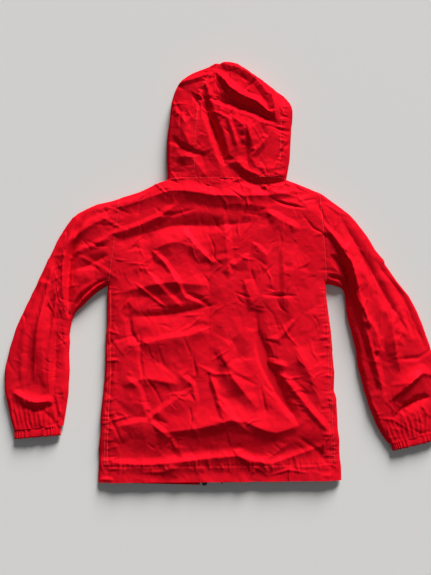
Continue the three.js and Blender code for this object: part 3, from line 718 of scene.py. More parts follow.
def under(x, y):
    """Height of the lower cloth's upper face: level round the zips, near the floor beside them."""
    d = rim_distance(x, y)
    zipped = 1 - ease(np.abs(x - body_middle), *ZIPPED_X)
    zipped = zipped * (1 - ease(y, *ZIPPED_Y))
    soft = np.clip(read_map(folds, x, y), 0, UNDER_TALLEST) * UNDER_FOLDS
    soft = soft * ease(d, *SOFT_FROM_RIM)
    level = FLOOR_GAP + (FRONT_LEVEL - FLOOR_GAP) * zipped + soft * (1 - zipped)
    lift = (1 - np.clip(d / UNDER_ROLL, 0, 1)) ** 2
    return level + (RIM_HEIGHT - LAYER_GAP - level) * lift


# The waver fades in over these distances from the hem and a cuff, and out from the outline
WAVER_HEM = (HEM_Y + 6 * MM, HEM_Y + 40 * MM)
WAVER_CUFF = (50 * MM, 90 * MM)
WAVER_REACH = (4 * MM, 34 * MM)


def wavered(vertices):
    """The points moved with the outline's waver, which dies out away from it."""
    x = vertices[:, 0]
    y = vertices[:, 1]
    ends = ease(y, *WAVER_HEM)
    for e in edges.values():
        cuff = (e["inner"][-1] + e["outer"][-1]) / 2
        ends = ends * ease(np.hypot(x - cuff[0], y - cuff[1]), *WAVER_CUFF)
    share = (1 - ease(rim_distance(x, y), *WAVER_REACH)) * ends
    moved = vertices.copy()
    for axis, field in enumerate(waver_maps):
        moved[:, axis] += read_map(field, x, y) * share
    return moved


# ---------------------------------------------------------------- materials
def node_material(name, color, roughness, **sockets):
    """A material of one colour and roughness. sockets holds the shader's other fixed values."""
    material = bpy.data.materials.new(name)
    material.use_nodes = True
    nodes = material.node_tree.nodes
    shader = nodes["Principled BSDF"]
    shader.inputs["Base Color"].default_value = (*color, 1)
    shader.inputs["Roughness"].default_value = roughness
    for socket, value in sockets.items():
        shader.inputs[socket.replace("_", " ")].default_value = value
    return material, nodes, material.node_tree.links, shader


def weave(name, color, shade, roughness, pitch, depth, **sockets):
    """Woven cloth: threads both ways, with slow changes of colour and gloss."""
    material, nodes, links, shader = node_material(name, color, roughness, **sockets)
    place = nodes.new("ShaderNodeTexCoord")
    waves = []
    for direction in ("X", "Y"):
        wave = nodes.new("ShaderNodeTexWave")
        wave.bands_direction = direction
        wave.inputs["Scale"].default_value = 1 / pitch / 20
        links.new(place.outputs["UV"], wave.inputs["Vector"])
        waves.append(wave)
    threads = nodes.new("ShaderNodeMath")
    threads.operation = "MAXIMUM"
    links.new(waves[0].outputs["Fac"], threads.inputs[0])
    links.new(waves[1].outputs["Fac"], threads.inputs[1])
    bump = nodes.new("ShaderNodeBump")
    bump.inputs["Strength"].default_value = depth
    bump.inputs["Distance"].default_value = 0.0002
    links.new(threads.outputs[0], bump.inputs["Height"])
    links.new(bump.outputs["Normal"], shader.inputs["Normal"])
    cloud = nodes.new("ShaderNodeTexNoise")
    cloud.inputs["Scale"].default_value = 14
    cloud.inputs["Detail"].default_value = 5
    links.new(place.outputs["UV"], cloud.inputs["Vector"])
    ramp = nodes.new("ShaderNodeValToRGB")
    ramp.color_ramp.elements[0].position = 0.3
    ramp.color_ramp.elements[0].color = (*shade, 1)
    ramp.color_ramp.elements[1].position = 0.7
    ramp.color_ramp.elements[1].color = (*color, 1)
    links.new(cloud.outputs["Fac"], ramp.inputs["Fac"])
    links.new(ramp.outputs["Color"], shader.inputs["Base Color"])
    gloss = nodes.new("ShaderNodeMapRange")
    gloss.inputs["To Min"].default_value = roughness - 0.05
    gloss.inputs["To Max"].default_value = roughness + 0.06
    links.new(cloud.outputs["Fac"], gloss.inputs["Value"])
    links.new(gloss.outputs["Result"], shader.inputs["Roughness"])
    return material


def worn_metal(name, color, roughness):
    """Painted metal, rubbed unevenly."""
    material, nodes, links, shader = node_material(name, color, roughness, Metallic=0.8)
    place = nodes.new("ShaderNodeTexCoord")
    grain = nodes.new("ShaderNodeTexNoise")
    grain.inputs["Scale"].default_value = 900
    links.new(place.outputs["Object"], grain.inputs["Vector"])
    wear = nodes.new("ShaderNodeMapRange")
    wear.inputs["To Min"].default_value = roughness - 0.1
    wear.inputs["To Max"].default_value = roughness + 0.15
    links.new(grain.outputs["Fac"], wear.inputs["Value"])
    links.new(wear.outputs["Result"], shader.inputs["Roughness"])
    return material


looks = {
    "shell_fabric": weave(
        "shell", (0.7, 0.006, 0.017), (0.61, 0.004, 0.013), 0.42, 0.0006, 0.25,
        Specular_IOR_Level=0, Metallic=0.09, Specular_Tint=(1, 0.12, 0.15, 1),
    ),
    "lining_fabric": weave(
        "lining", (0.5, 0.004, 0.012), (0.42, 0.003, 0.01), 0.6, 0.0007, 0.3,
        Specular_IOR_Level=0.03,
    ),
    "seam_tape": weave("seam_tape", (0.5, 0.05, 0.06), (0.42, 0.04, 0.05), 0.4, 0.0008, 0.15),
    "elastic": weave("elastic", (0.32, 0.005, 0.01), (0.22, 0.004, 0.008), 0.8, 0.0009, 0.6),
    "zip_tape": weave("zip_tape", (0.012, 0.012, 0.013), (0.02, 0.02, 0.021), 0.8, 0.0009, 0.6),
    "zip_coil": weave("zip_coil", (0.016, 0.016, 0.018), (0.01, 0.01, 0.011), 0.4, 0.001, 0.1),
    "zip_metal": worn_metal("zip_metal", (0.03, 0.03, 0.033), 0.35),
    "ribbon": weave("ribbon", (0.015, 0.015, 0.017), (0.022, 0.022, 0.024), 0.8, 0.0008, 0.6),
    "thread": weave("thread", (0.9, 0.06, 0.07), (0.8, 0.03, 0.04), 0.55, 0.0004, 0.4),
}


# ---------------------------------------------------------------- making pieces
made = {}
cuts = {}  # each sheet's flat width, length and area


def measure_cut(name, plan, z):
    """The flat size of a sheet on plan points (rows, columns, 2), at heights without its folds."""
    form = np.concatenate([plan, z[..., None]], 2)
    across = np.linalg.norm(np.diff(form, axis=1), axis=2)
    ahead = np.linalg.norm(np.diff(form, axis=0), axis=2)
    width = across.sum(1).max()
    length = ahead.sum(0)[plan.shape[1] // 2]
    cells = np.cross(form[1:, :-1] - form[:-1, :-1], form[:-1, 1:] - form[:-1, :-1])
    area = min(np.linalg.norm(cells, axis=2).sum(), width * length) * FOLD_ALLOWANCE
    cuts[name] = (width * FOLD_ALLOWANCE, length * FOLD_ALLOWANCE, area)


def piece(name, vertices, faces, look, nodes=()):
    """A visible piece with its look and the CAD nodes it stands for."""
    shown = name + "_cloth" if name in frame["nodes"] else name
    mesh = bpy.data.meshes.new(shown)
    mesh.from_pydata([tuple(v) for v in vertices], [], [tuple(f) for f in faces])
    flat = mesh.uv_layers.new(name="flat")
    corners = np.zeros(len(mesh.loops), np.int32)
    mesh.loops.foreach_get("vertex_index", corners)
    flat.data.foreach_set("uv", np.asarray(vertices)[corners, :2].astype(np.float32).ravel())
    mesh.materials.append(looks[look])
    mesh.shade_smooth()
    obj = bpy.data.objects.new(shown, mesh)
    bpy.context.scene.collection.objects.link(obj)
    if nodes:
        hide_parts(*nodes)
    made[name] = obj
    return obj


def thicken(obj, thickness):
    """Gives a sheet its cloth's thickness, below its drawn face."""
    solid = obj.modifiers.new("cloth", "SOLIDIFY")
    solid.thickness = thickness
    solid.offset = -1
    graph = bpy.context.evaluated_depsgraph_get()
    final = bpy.data.meshes.new_from_object(obj.evaluated_get(graph))
    obj.modifiers.clear()
    old = obj.data
    obj.data = final
    bpy.data.meshes.remove(old)
    final.name = obj.name
    final.set_sharp_from_angle(angle=math.radians(65))
    return obj


def grid_faces(rows_count, columns_count):
    j, i = np.meshgrid(np.arange(rows_count - 1), np.arange(columns_count - 1), indexing="ij")
    a = (j * columns_count + i).ravel()
    return np.stack([a, a + 1, a + 1 + columns_count, a + columns_count], 1)


def ruled(near, far, shares):
    """Plan points between two edges: one row for each pair of edge points."""
    return near[:, None, :] + shares[None, :, None] * (far - near)[:, None, :]


def laid(name, plan, height, look, thickness=CLOTH, keep=None, face_up=True):
    """A sheet over plan points (rows, columns, 2), at height(x, y)."""
    x = plan[..., 0]
    y = plan[..., 1]
    vertices = np.stack([x, y, height(x, y)], -1).reshape(-1, 3)
    faces = grid_faces(*plan.shape[:2])
    first, second, third = (vertices[faces[:, k]] for k in range(3))
    turn = np.cross(second - first, third - second)[:, 2].sum()
    if (turn > 0) != face_up:
        faces = faces[:, ::-1]
    if keep is not None:
        faces = faces[keep(vertices[faces].mean(1))]
    vertices = wavered(vertices)
    nodes = [name] if name in frame["nodes"] else []
    form = cover_form if height is cover or height is hem_cover else height
    measure_cut(name, plan, form(x, y))
    return thicken(piece(name, vertices, faces, look, nodes), thickness)


MESH_STEP = 1.7 * MM


def shares_at(length, step=MESH_STEP):
    """Even shares of a length, about a step apart."""
    return np.linspace(0, 1, max(3, int(length / step)))


# Back panel and hem band
side_points = {}
for side, e in edges.items():
    side_points[side] = np.array([e["band"], e["underarm"], e["shoulder"], e["neck"]])
WRAP_TOP = edges["left"]["underarm"][1]
WRAP_END = WRAP_TOP - 12 * MM
HEM_THICK = 1.2 * MM
FRONT_HEM_THICK = 0.9 * MM


def seam_edge(side, points):
    """The back panel's edge: in from the side up to the underarm, then on the armhole."""
    inward = SIDE_WRAP * (1 - 0.5 * ease(points[:, 1], BAND_Y, WRAP_TOP))
    inward = inward * (1 - ease(points[:, 1], WRAP_END, WRAP_TOP))
    out = points.copy()
    out[:, 0] -= SIDES[side] * inward
    return out


back_rows = shares_at(NECK_Y - BAND_Y)
body_columns = shares_at(back_high.x - back_low.x)
full_edges = {s: along(p, back_rows) for s, p in side_points.items()}
back_edges = {s: seam_edge(s, p) for s, p in full_edges.items()}
back_plan = ruled(back_edges["left"], back_edges["right"], body_columns)
laid("back_panel", back_plan, cover, "shell_fabric")

UNDERARM_CLEAR = 9 * MM


def side_seam(side):
    """The side seam on the back, up to just below the underarm."""
    return back_edges[side][back_edges[side][:, 1] < edges[side]["underarm"][1] - UNDERARM_CLEAR]


hem_rows = shares_at(BAND_Y - HEM_Y)
band_edges = {s: along(np.array([e["hem"], e["band"]]), hem_rows) for s, e in edges.items()}
hem_in = {s: seam_edge(s, p) for s, p in band_edges.items()}
hem_plan = ruled(hem_in["left"], hem_in["right"], body_columns)
laid("back_hem_band", hem_plan, hem_cover, "shell_fabric", thickness=HEM_THICK)


# Front panels and their hem bands
def wrapped(name, side, rows_edge, zip_edge, seam_line, keep=None, thickness=CLOTH):
    """A sheet from the zip along the floor, round the side, and over the back to the side seam."""
    floor_shares = np.linspace(0, 1, 60)
    over_shares = np.linspace(0, 1, 14)[1:]
    bottom = ruled(zip_edge, rows_edge, 1 - (1 - floor_shares) ** 1.6)
    top = ruled(rows_edge, seam_line, over_shares)
    plan = np.concatenate([bottom, top], 1)
    x = plan[..., 0]
    y = plan[..., 1]

    def heights(upper):
        split = bottom.shape[1]
        return np.concatenate(
            [under(x[:, :split], y[:, :split]), upper(x[:, split:], y[:, split:])], 1
        )

    measure_cut(name, plan, heights(cover_form))
    vertices = np.stack([x, y, heights(cover)], -1).reshape(-1, 3)
    faces = grid_faces(*plan.shape[:2])
    if side == "right":
        faces = faces[:, ::-1]
    if keep is not None:
        faces = faces[keep(vertices[faces].mean(1))]
    vertices = wavered(vertices)
    return thicken(piece(name, vertices, faces, "shell_fabric", [name]), thickness)


zip_edges = {"left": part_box("left_front_panel")[1].x, "right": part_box("right_front_panel")[0].x}
SLOT_CLEAR = 5 * MM
UNDER_CLOTH = 8 * MM  # only faces lower than this are cut away at a pocket's zip
for side in SIDES:
    slot_low, slot_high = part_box(f"{side}_pocket_zip_coil")

    def beside_slot(centres, low=slot_low, high=slot_high):
        across = (centres[:, 0] > low.x - SLOT_CLEAR) & (centres[:, 0] < high.x + SLOT_CLEAR)
        lengthways = (centres[:, 1] > low.y) & (centres[:, 1] < high.y)
        return ~(across & lengthways & (centres[:, 2] < UNDER_CLOTH))

    side_line = full_edges[side]
    zip_edge = np.stack([np.full(len(side_line), zip_edges[side]), side_line[:, 1]], 1)
    wrapped(f"{side}_front_panel", side, side_line, zip_edge, back_edges[side], beside_slot)
    front_hem_low, front_hem_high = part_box(f"{side}_front_hem_band")
    hem_zip = front_hem_high.x if side == "left" else front_hem_low.x
    zip_edge = along(np.array([(hem_zip, front_hem_low.y), (hem_zip, BAND_Y)]), hem_rows)
    band = f"{side}_front_hem_band"
    wrapped(band, side, band_edges[side], zip_edge, hem_in[side], thickness=FRONT_HEM_THICK)

# Sleeves
SLEEVE_LENGTH = 0.5
SLEEVE_WIDTH = 0.15
for side in SIDES:
    inner = edges[side]["inner"]
    outer = edges[side]["outer"]
    rows_shares = shares_at(SLEEVE_LENGTH, 2.2 * MM)
    columns_shares = shares_at(SLEEVE_WIDTH, 2 * MM)
    plan = ruled(along(inner, rows_shares), along(outer, rows_shares), columns_shares)
    laid(f"{side}_sleeve_back_panel", plan, cover, "shell_fabric")
    laid(f"{side}_sleeve_front_panel", plan, under, "shell_fabric", face_up=False)

# Hood
hood_rows = shares_at(0.27)
for name, near, far in zip(hood_names, hood_lines, hood_lines[1:]):
    across_shares = shares_at(np.linalg.norm(far - near, axis=1).max())
    plan = ruled(along(near, hood_rows), along(far, hood_rows), across_shares)
    bow = bowed(near[-1], far[-1], across_shares)
    plan += bow[None] * ease(hood_rows, 0.4, 1)[:, None, None]
    laid(name, plan, cover, "shell_fabric")

# Cuffs: a gathered casing round an elastic ring
CUFF_GATHERS = 34
CUFF_TURN = 204  # points round a cuff
CASING_LENGTH = 15 * MM
ELASTIC_LENGTH = 10 * MM
CUFF_ROLL = 1.8 * MM
TUCK = 1.6 * MM


def cuff_ring(name, side, inset, gather, look, rows_count):
    """A flat ring of cloth at the sleeve's end, its outer and inner faces in one closed mesh."""
    e = edges[side]
    inner = e["inner"][-1]
    outer = e["outer"][-1]
    low, high = (np.array(c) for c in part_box(name))
    across = (outer - inner) / np.linalg.norm(outer - inner)
    onward = np.array([across[1], -across[0]])
    onward = onward * np.sign(onward @ (e["outer"][-1] - e["outer"][-6]))
    width = (high[0] - low[0] - abs(onward[0]) * (high[1] - low[1]) * 0.4) / 2 - inset
    depth = (high[2] - low[2]) / 2 - inset
    casing = gather > 0.4 * MM
    length = CASING_LENGTH if casing else ELASTIC_LENGTH
    middle = (low[:2] + high[:2]) / 2
    turns = np.linspace(0, 2 * math.pi, CUFF_TURN, endpoint=False)
    wave = np.cos(turns * CUFF_GATHERS + 1.3 * np.sin(turns * 3))
    wave = wave + 0.4 * np.cos(turns * CUFF_GATHERS * 0.5 + 2)
    vertices = []
    shares = np.linspace(-0.5, 0.5, rows_count)
    if casing:
        shares = np.concatenate([[-0.72, -0.6], shares])  # its end is tucked into the sleeve
    profile = [(t, 1) for t in shares] + [(t, -1) for t in shares[::-1]]
    for share, face in profile:
        puff = max(0, 1 - (2 * share) ** 2)
        tuck = TUCK * (share < -0.51)
        wall = (0.35 + 0.5 * puff) * MM * face
        swell = wall + gather * wave * (1.15 - 0.6 * puff) - tuck
        reach = width - CUFF_ROLL + swell
        rise = depth - CUFF_ROLL + swell * 0.75
        bend = np.sign(np.sin(turns)) * np.abs(np.sin(turns)) ** 0.75
        side_way = np.sign(np.cos(turns)) * np.abs(np.cos(turns)) ** 0.55
        push = share * length + 0.5 * gather * np.roll(wave, 2)
        for s, b, d, r, w in zip(side_way, bend, push, rise, reach):
            place = middle + across * s * w + onward * d
            vertices.append((*place, low[2] + depth + inset + b * r))
    faces = []
    count = len(profile)
    for j in range(count):
        for i in range(CUFF_TURN):
            a = j * CUFF_TURN + i
            b = j * CUFF_TURN + (i + 1) % CUFF_TURN
            shift = ((j + 1) % count - j) * CUFF_TURN
            faces.append((a, b, b + shift, a + shift))
    if across[0] * onward[1] - across[1] * onward[0] < 0:
        faces = [f[::-1] for f in faces]
    return piece(name, vertices, faces, look, [name])


for side in SIDES:
    cuff_ring(f"{side}_cuff_casing", side, 0, 1.2 * MM, "shell_fabric", 7)
    cuff_ring(f"{side}_cuff_elastic", side, 1.4 * MM, 0.3 * MM, "elastic", 4)


# Tapes and other strips
def strip(name, line, width, height, look, thickness=LINING, shift=0.0, face_up=True):
    """A strip of cloth along a plan line. shift moves it to the line's left."""
    count = max(8, int(np.linalg.norm(np.diff(line, axis=0), axis=1).sum() / (3 * MM)))
    middle = along(line, np.linspace(0, 1, count))
    ways = np.gradient(middle, axis=0)
    ways /= np.linalg.norm(ways, axis=1)[:, None]
    aside = np.stack([-ways[:, 1], ways[:, 0]], 1)
    near = middle + aside * (shift - width / 2)
    far = middle + aside * (shift + width / 2)
    laid(name, ruled(near, far, shares_at(width)), height, look, thickness, face_up=face_up)


TAPE_GAP = 1.1 * MM
NECK_TAPE_IN = 7 * MM
TAPE_IN = 8 * MM
SLEEVE_TAPE = 11 * MM
BODY_TAPE = 13 * MM


def tape_height(x, y):
    return cover(x, y) - TAPE_GAP


sleeve_shares = np.linspace(0.02, 0.97, 40)
for side, way in SIDES.items():
    e = edges[side]
    shoulder = np.array([e["shoulder"], e["neck"]])
    tapes = (
        ("side", side_seam(side), BODY_TAPE, 0),
        ("shoulder", along(shoulder, [0.04, 0.96]), BODY_TAPE, way * TAPE_IN),
        ("underarm", along(e["inner"], sleeve_shares), SLEEVE_TAPE, way * TAPE_IN),
        ("sleeve_top", along(e["outer"], sleeve_shares), SLEEVE_TAPE, -way * TAPE_IN),
    )
    for seam, line, width, shift in tapes:
        strip(f"{side}_{seam}_seam_tape", line, width, tape_height, "seam_tape", shift=shift)
tape_low, tape_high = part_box("back_neck_seam_tape")
neck_tape_y = tape_low.y + NECK_TAPE_IN
neck_tape = np.array([(tape_low.x, neck_tape_y), (tape_high.x, neck_tape_y)])
strip("back_neck_seam_tape", neck_tape, BODY_TAPE, tape_height, "seam_tape")
for side, line in zip(SIDES, hood_lines[1:]):
    line = along(line, np.linspace(0.08, 0.8, 40))
    strip(f"hood_{side}_seam_tape", line, BODY_TAPE, tape_height, "seam_tape")

# Round the face opening
FACING_WIDTH = 48 * MM
FACE_END = 0.7
BINDING_WIDTH = 4 * MM
BINDING_THICK = 1.6 * MM
BINDING_RISE = 0.5 * MM
FACING_THICK = 0.8 * MM


def binding_height(x, y):
    return under(x, y) + BINDING_RISE


facing_shares = np.linspace(0.003, FACE_END, 100)
for (side, way), line in zip(SIDES.items(), (hood_lines[0], hood_lines[-1])):
    outline = along(line, facing_shares)
    strip(f"hood_{side}_facing", outline, FACING_WIDTH - 1 * MM, under, "lining_fabric",
          FACING_THICK, way * FACING_WIDTH / 2, face_up=False)
    strip(f"hood_{side}_face_binding", outline, BINDING_WIDTH, binding_height, "elastic",
          BINDING_THICK, way * (FACING_WIDTH + 2 * MM), face_up=False)
brim_shares = np.linspace(FACE_END + 0.004, 0.995, 60)
brim_sides = [along(line, brim_shares) for line in (hood_lines[0], hood_lines[-1])]
laid("hood_brim", ruled(*brim_sides, shares_at(0.22)), under, "lining_fabric", FACING_THICK, face_up=False)


# Inside the front: pocket bags, storm flap, chin guard, hang loop
BAG_ROLL = 7 * MM
FLAP_ROLL = 3 * MM
FLAP_THICK = 0.8 * MM
BOX_INSET = 0.5 * MM


def box_plan(low, high, step=2 * MM):
    """Plan points over a box."""
    near = np.stack([np.full(2, low.x), (low.y, high.y)], 1)
    far = np.stack([np.full(2, high.x), (low.y, high.y)], 1)
    shares = shares_at(high.y - low.y, step)
    return ruled(along(near, shares), along(far, shares), shares_at(high.x - low.x, step))


def pillow(low, high, edge, top, roll):
    """A height that rises from a box's sides to its middle."""

    def height(x, y):
        d = np.minimum(np.minimum(x - low.x, high.x - x), np.minimum(y - low.y, high.y - y))
        rise = 1 - (1 - np.clip(d / roll, 0, 1)) ** 2
        return edge + (top - edge) * rise + 0.15 * read_map(folds, x, y) * rise * 0.3

    return height


for side in SIDES:
    low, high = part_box(f"{side}_pocket_bag")
    bag_height = pillow(low, high, low.z + BOX_INSET, high.z - BOX_INSET, BAG_ROLL)
    laid(f"{side}_pocket_bag", box_plan(low, high), bag_height, "lining_fabric", LINING)
low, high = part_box("storm_flap")
sewn_side = high + Vector((1, 0, 0))  # the flap doesn't come down at its sewn side
flap_height = pillow(low, sewn_side, low.z + BOX_INSET, high.z - 0.4 * MM, FLAP_ROLL)
laid("storm_flap", box_plan(low, high), flap_height, "lining_fabric", FLAP_THICK)


def soft_block(name, look, round_share=0.35):
    """A small pad of cloth in a CAD node's box, with rounded edges."""
    low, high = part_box(name)
    mesh = bmesh.new()
    bmesh.ops.create_cube(mesh, size=1)
    size = high - low
    for v in mesh.verts:
        v.co = Vector(c * s for c, s in zip(v.co, size)) + (low + high) / 2
    width = min(size) * round_share
    bmesh.ops.bevel(mesh, geom=mesh.edges[:], offset=width, segments=4, profile=0.5, affect="EDGES")
    vertices = [tuple(v.co) for v in mesh.verts]
    faces = [tuple(v.index for v in f.verts) for f in mesh.faces]
    mesh.free()
    return polygons(name, vertices, faces, look)


def polygons(name, vertices, faces, look):
    """A piece in a CAD node's place, with its faces cut into triangles."""
    mesh = bpy.data.meshes.new(name + "_draft")
    mesh.from_pydata(vertices, [], faces)
    mesh.calc_loop_triangles()
    triangles = [tuple(t.vertices) for t in mesh.loop_triangles]
    bpy.data.meshes.remove(mesh)
    return piece(name, vertices, triangles, look, [name])


soft_block("left_chin_guard", "shell_fabric")

loop_low, loop_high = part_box("hang_loop")
LOOP_THICK = 1.0 * MM
loop_middle = (loop_low + loop_high) / 2
loop_half = (loop_high.x - loop_low.x) / 2 - LOOP_THICK
loop_drop = loop_high.z - loop_low.z - 2 * LOOP_THICK
loop_vertices = []
LOOP_POINTS = 32
for turn in np.linspace(0, math.pi, LOOP_POINTS):
    out = np.array([math.cos(turn), -abs(math.sin(turn)) ** 0.6])
    x = loop_middle.x + out[0] * loop_half
    z = loop_high.z - LOOP_THICK + out[1] * loop_drop
    loop_vertices += [(x, loop_low.y, z), (x, loop_high.y, z)]
loop_faces = grid_faces(LOOP_POINTS, 2)
thicken(piece("hang_loop", loop_vertices, loop_faces, "ribbon", ["hang_loop"]), LOOP_THICK)

# Zips
TOOTH_PITCH = 1.5 * MM


def bar_faces(start):
    """The faces of a bar of four sides whose eight vertices begin at start."""
    near = [start + i for i in range(4)]
    far = [start + 4 + i for i in range(4)]
    ring = [(near[i], near[(i + 1) % 4], far[(i + 1) % 4], far[i]) for i in range(4)]
    return [*ring, tuple(near[::-1]), tuple(far)]


def teeth(vertices, faces, x, y0, y1, z, width, half_height):
    """A row of coil turns along Y, each a slanted bar with its corners cut."""
    for y in np.arange(y0 + TOOTH_PITCH / 2, y1 - TOOTH_PITCH / 3, TOOTH_PITCH):
        faces += bar_faces(len(vertices))
        for end, slant in ((-1, -0.2), (1, 0.2)):
            for a, b in ((-1, 0), (0, -1), (1, 0), (0, 1)):
                place_y = y + (slant + 0.38 * a) * TOOTH_PITCH
                vertices.append((x + end * width / 2, place_y, z + b * half_height))


def core(vertices, faces, x, y0, y1, z, half):
    """The cord that a coil is wound on."""
    faces += bar_faces(len(vertices))
    for y in (y0, y1):
        vertices += [(x + half * a, y, z + half * b) for a, b in ((-1, -1), (1, -1), (1, 1), (-1, 1))]


def coil(name, lines):
    """A zip's coil or coils in a CAD node's box. lines are their middles and widths."""
    vertices = []
    faces = []
    low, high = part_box(name)
    z = (low.z + high.z) / 2
    half = (high.z - low.z) / 2
    for x, width in lines:
        teeth(vertices, faces, x, low.y, high.y, z, width, half)
        core(vertices, faces, x, low.y, high.y, z, half * 0.5)
    piece(name, vertices, faces, "zip_coil", [name])


RIB_PITCH = 0.9 * MM
RIB_DEPTH = 0.2 * MM


def tape(name, keep=None):
    """A zip's woven tape, ribbed lengthways."""
    low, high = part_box(name)

    def height(x, y):
        return np.full(x.shape, high.z - LAYER_GAP) - RIB_DEPTH * (np.sin(x / RIB_PITCH) > 0.6)

    laid(name, box_plan(low, high, 1.5 * MM), height, "zip_tape", 0.5 * MM, keep)


POCKET_COIL = 2.2 * MM
for side in SIDES:
    low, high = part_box(f"{side}_zip_coil")
    coil(f"{side}_zip_coil", [((low.x + high.x) / 2, high.x - low.x)])
    tape(f"{side}_zip_tape")
    slot_low, slot_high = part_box(f"{side}_pocket_zip_coil")
    coil_middles = (slot_low.x + POCKET_COIL / 2, slot_high.x - POCKET_COIL / 2)
    coil(f"{side}_pocket_zip_coil", [(x, POCKET_COIL) for x in coil_middles])

    def round_slot(centres, low=slot_low, high=slot_high):
        across = (centres[:, 0] > low.x - 0.3 * MM) & (centres[:, 0] < high.x + 0.3 * MM)
        return ~(across & (centres[:, 1] > low.y) & (centres[:, 1] < high.y))

    tape(f"{side}_pocket_zip_tape", round_slot)

METAL = ["zip_retainer_box", "zip_insertion_pin", "main_zip_slider", "main_zip_pull"]
for part in ("zip_top_stop", "pocket_zip_slider", "pocket_zip_pull"):
    METAL += [f"{side}_{part}" for side in SIDES]
for name in METAL:
    frame["nodes"][name].data.materials.clear()
    frame["nodes"][name].data.materials.append(looks["zip_metal"])


# Stitches, each a small raised lozenge of thread
STITCH = 2.4 * MM
STITCH_PITCH = 3.4 * MM
STITCH_WIDTH = 0.75 * MM
STITCH_SINK = 0.25 * MM
STITCH_SIDE = 0.12 * MM
STITCH_RISE = 0.45 * MM


def stitches(name, lines):
    """Rows of stitches on the upper cloth, along plan lines."""
    vertices = []
    faces = []
    for line in lines:
        length = np.linalg.norm(np.diff(line, axis=0), axis=1).sum()
        starts = np.arange(STITCH_PITCH, length - STITCH_PITCH, STITCH_PITCH) / length
        heads = along(line, starts)
        tails = along(line, starts + STITCH / length)
        for head, tail in zip(heads, tails):
            way = (tail - head) / np.linalg.norm(tail - head)
            aside = np.array([-way[1], way[0]]) * STITCH_WIDTH / 2
            middle = (head + tail) / 2
            ring = [head, middle - aside, tail, middle + aside]
            start = len(vertices)
            z = cover(*np.array([*ring, middle]).T)
            base = z[:4].mean()
            vertices += [(*p, h - STITCH_SINK) for p, h in zip(ring, z)]
            vertices += [(*p, h + STITCH_SIDE) for p, h in zip(ring, z)]
            vertices.append((*middle, max(base, z[4]) + STITCH_RISE))
            for i in range(4):
                j = (i + 1) % 4
                faces.append((start + i, start + j, start + 4 + j))
                faces.append((start + i, start + 4 + j, start + 4 + i))
                faces.append((start + 4 + i, start + 4 + j, start + 8))
            faces += [(start, start + 3, start + 2), (start, start + 2, start + 1)]
    piece(name, wavered(np.array(vertices)), faces, "thread")


def offset(line, shift):
    """A plan line moved to its left."""
    ways = np.gradient(line, axis=0)
    ways /= np.linalg.norm(ways, axis=1)[:, None]
    return line + np.stack([-ways[:, 1], ways[:, 0]], 1) * shift


TOPSTITCH = 2.2 * MM
hem_line = along(band_line, np.linspace(0.05, 0.95, 60))
stitches("hem_stitches", [offset(hem_line, -TOPSTITCH)])
stitches("neck_stitches", [offset(along(neck_line, np.linspace(0.01, 0.99, 40)), -TOPSTITCH)])
for side, way in SIDES.items():
    seam = side_seam(side)
    stitches(f"{side}_side_stitches", [offset(seam, -way * s * TOPSTITCH) for s in (1, 3.2)])
    armhole = np.array([edges[side]["underarm"], edges[side]["shoulder"]])
    armhole = along(armhole, np.linspace(0, 1, 40))
    stitches(f"{side}_armhole_stitches", [offset(armhole, way * TOPSTITCH)])
for (side, way), line in zip(SIDES.items(), hood_lines[1:]):
    line = along(line, np.linspace(0.02, 0.97, 60))
    stitches(f"hood_{side}_stitches", [offset(line, way * TOPSTITCH)])


# ---------------------------------------------------------------- camera, light and floor
CAMERA_HEIGHT = 0.832
CAMERA_BACK = 0.181  # behind the middle of the jacket
CAMERA_SIDE = -0.0081
LENS = 27.05  # mm
SENSOR = 36
TILT = math.radians(8.6)
CAMERA_ROLL = math.radians(-0.55)
forward = Vector((0, math.sin(TILT), -math.cos(TILT)))
lift = Vector((0, math.cos(TILT), math.sin(TILT)))
across = Vector((1, 0, 0))
camera_right = across * math.cos(CAMERA_ROLL) + lift * math.sin(CAMERA_ROLL)
camera_up = lift * math.cos(CAMERA_ROLL) - across * math.sin(CAMERA_ROLL)
camera_data = bpy.data.cameras.new("camera")
camera_data.lens = LENS
camera_data.sensor_width = SENSOR
camera = bpy.data.objects.new("camera", camera_data)
turned = Matrix((camera_right, camera_up, -forward)).transposed().to_4x4()
camera.matrix_world = Matrix.Translation((CAMERA_SIDE, -CAMERA_BACK, CAMERA_HEIGHT)) @ turned
bpy.context.scene.collection.objects.link(camera)
bpy.context.scene.camera = camera


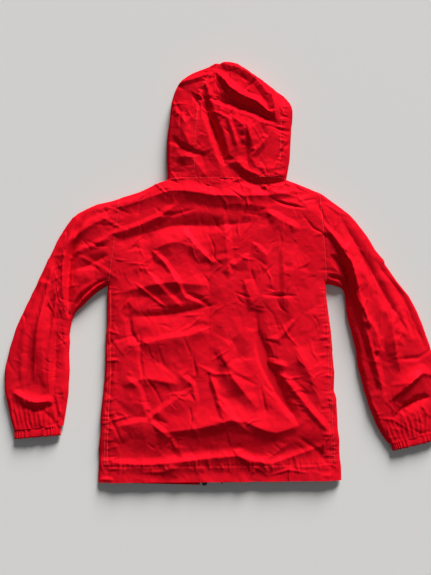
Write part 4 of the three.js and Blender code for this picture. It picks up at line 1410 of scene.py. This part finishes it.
def soft_light(name, place, strength, spread):
    """A broad even light from the direction of a place."""
    data = bpy.data.lights.new(name, "SUN")
    data.energy = strength
    data.angle = math.radians(spread)
    light = bpy.data.objects.new(name, data)
    light.location = place
    light.rotation_euler = (-Vector(place)).to_track_quat("-Z", "Y").to_euler()
    bpy.context.scene.collection.objects.link(light)


soft_light("window", (0.8, 2.35, 0.95), 7.4, 24)
soft_light("fill", (0.8, -1.4, 2.2), 0.16, 60)
world = bpy.data.worlds.new("studio")
world.use_nodes = True
world.node_tree.nodes["Background"].inputs["Color"].default_value = (0.9, 0.94, 1, 1)
world.node_tree.nodes["Background"].inputs["Strength"].default_value = 0.13
bpy.context.scene.world = world
bpy.context.scene.view_settings.view_transform = "Standard"

FLOOR = 14.0  # half its width
floor_mesh = bpy.data.meshes.new("floor")
floor_corners = [(-FLOOR, -FLOOR, 0), (FLOOR, -FLOOR, 0), (FLOOR, FLOOR, 0), (-FLOOR, FLOOR, 0)]
floor_mesh.from_pydata(floor_corners, [], [(0, 1, 2, 3)])
floor_material, *_ = node_material("floor", (0.62, 0.61, 0.59), 0.95, Specular_IOR_Level=0.1)
floor_mesh.materials.append(floor_material)
floor = bpy.data.objects.new("floor", floor_mesh)
bpy.context.scene.collection.objects.link(floor)

# ---------------------------------------------------------------- riding, and the rest baked in place
joints = {j["name"]: j for j in frame["joints"]}


def blend_sleeve(obj, side):
    """Bakes a sleeve piece's place into its mesh. The joint's outward way is worked out but not used."""
    joint = joints[f"{side}_sleeve_fold"]
    out = Vector(joint["axis"]).cross(Vector((0, 0, 1))).normalized() * SIDES[side]
    if out.x * SIDES[side] < 0:
        out = -out
    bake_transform(obj)


for name, obj in made.items():
    side = name.split("_")[0]
    if name.startswith("hood"):
        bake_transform(obj)
    elif "cuff" in name:
        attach(obj, f"{side}_sleeve")
    elif "sleeve" in name or "underarm" in name:
        blend_sleeve(obj, side)
    else:
        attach(obj, "torso")

# Every panel is a sheet of cloth
SHEETS = ["back_panel", "back_hem_band", *hood_names, "storm_flap", "hood_brim"]
for side in SIDES:
    SHEETS += [f"{side}_{part}" for part in ("front_panel", "front_hem_band", "sleeve_back_panel")]
    SHEETS += [f"{side}_sleeve_front_panel", f"{side}_pocket_bag", f"hood_{side}_facing"]
for name in SHEETS:
    width, length, area = cuts[name]
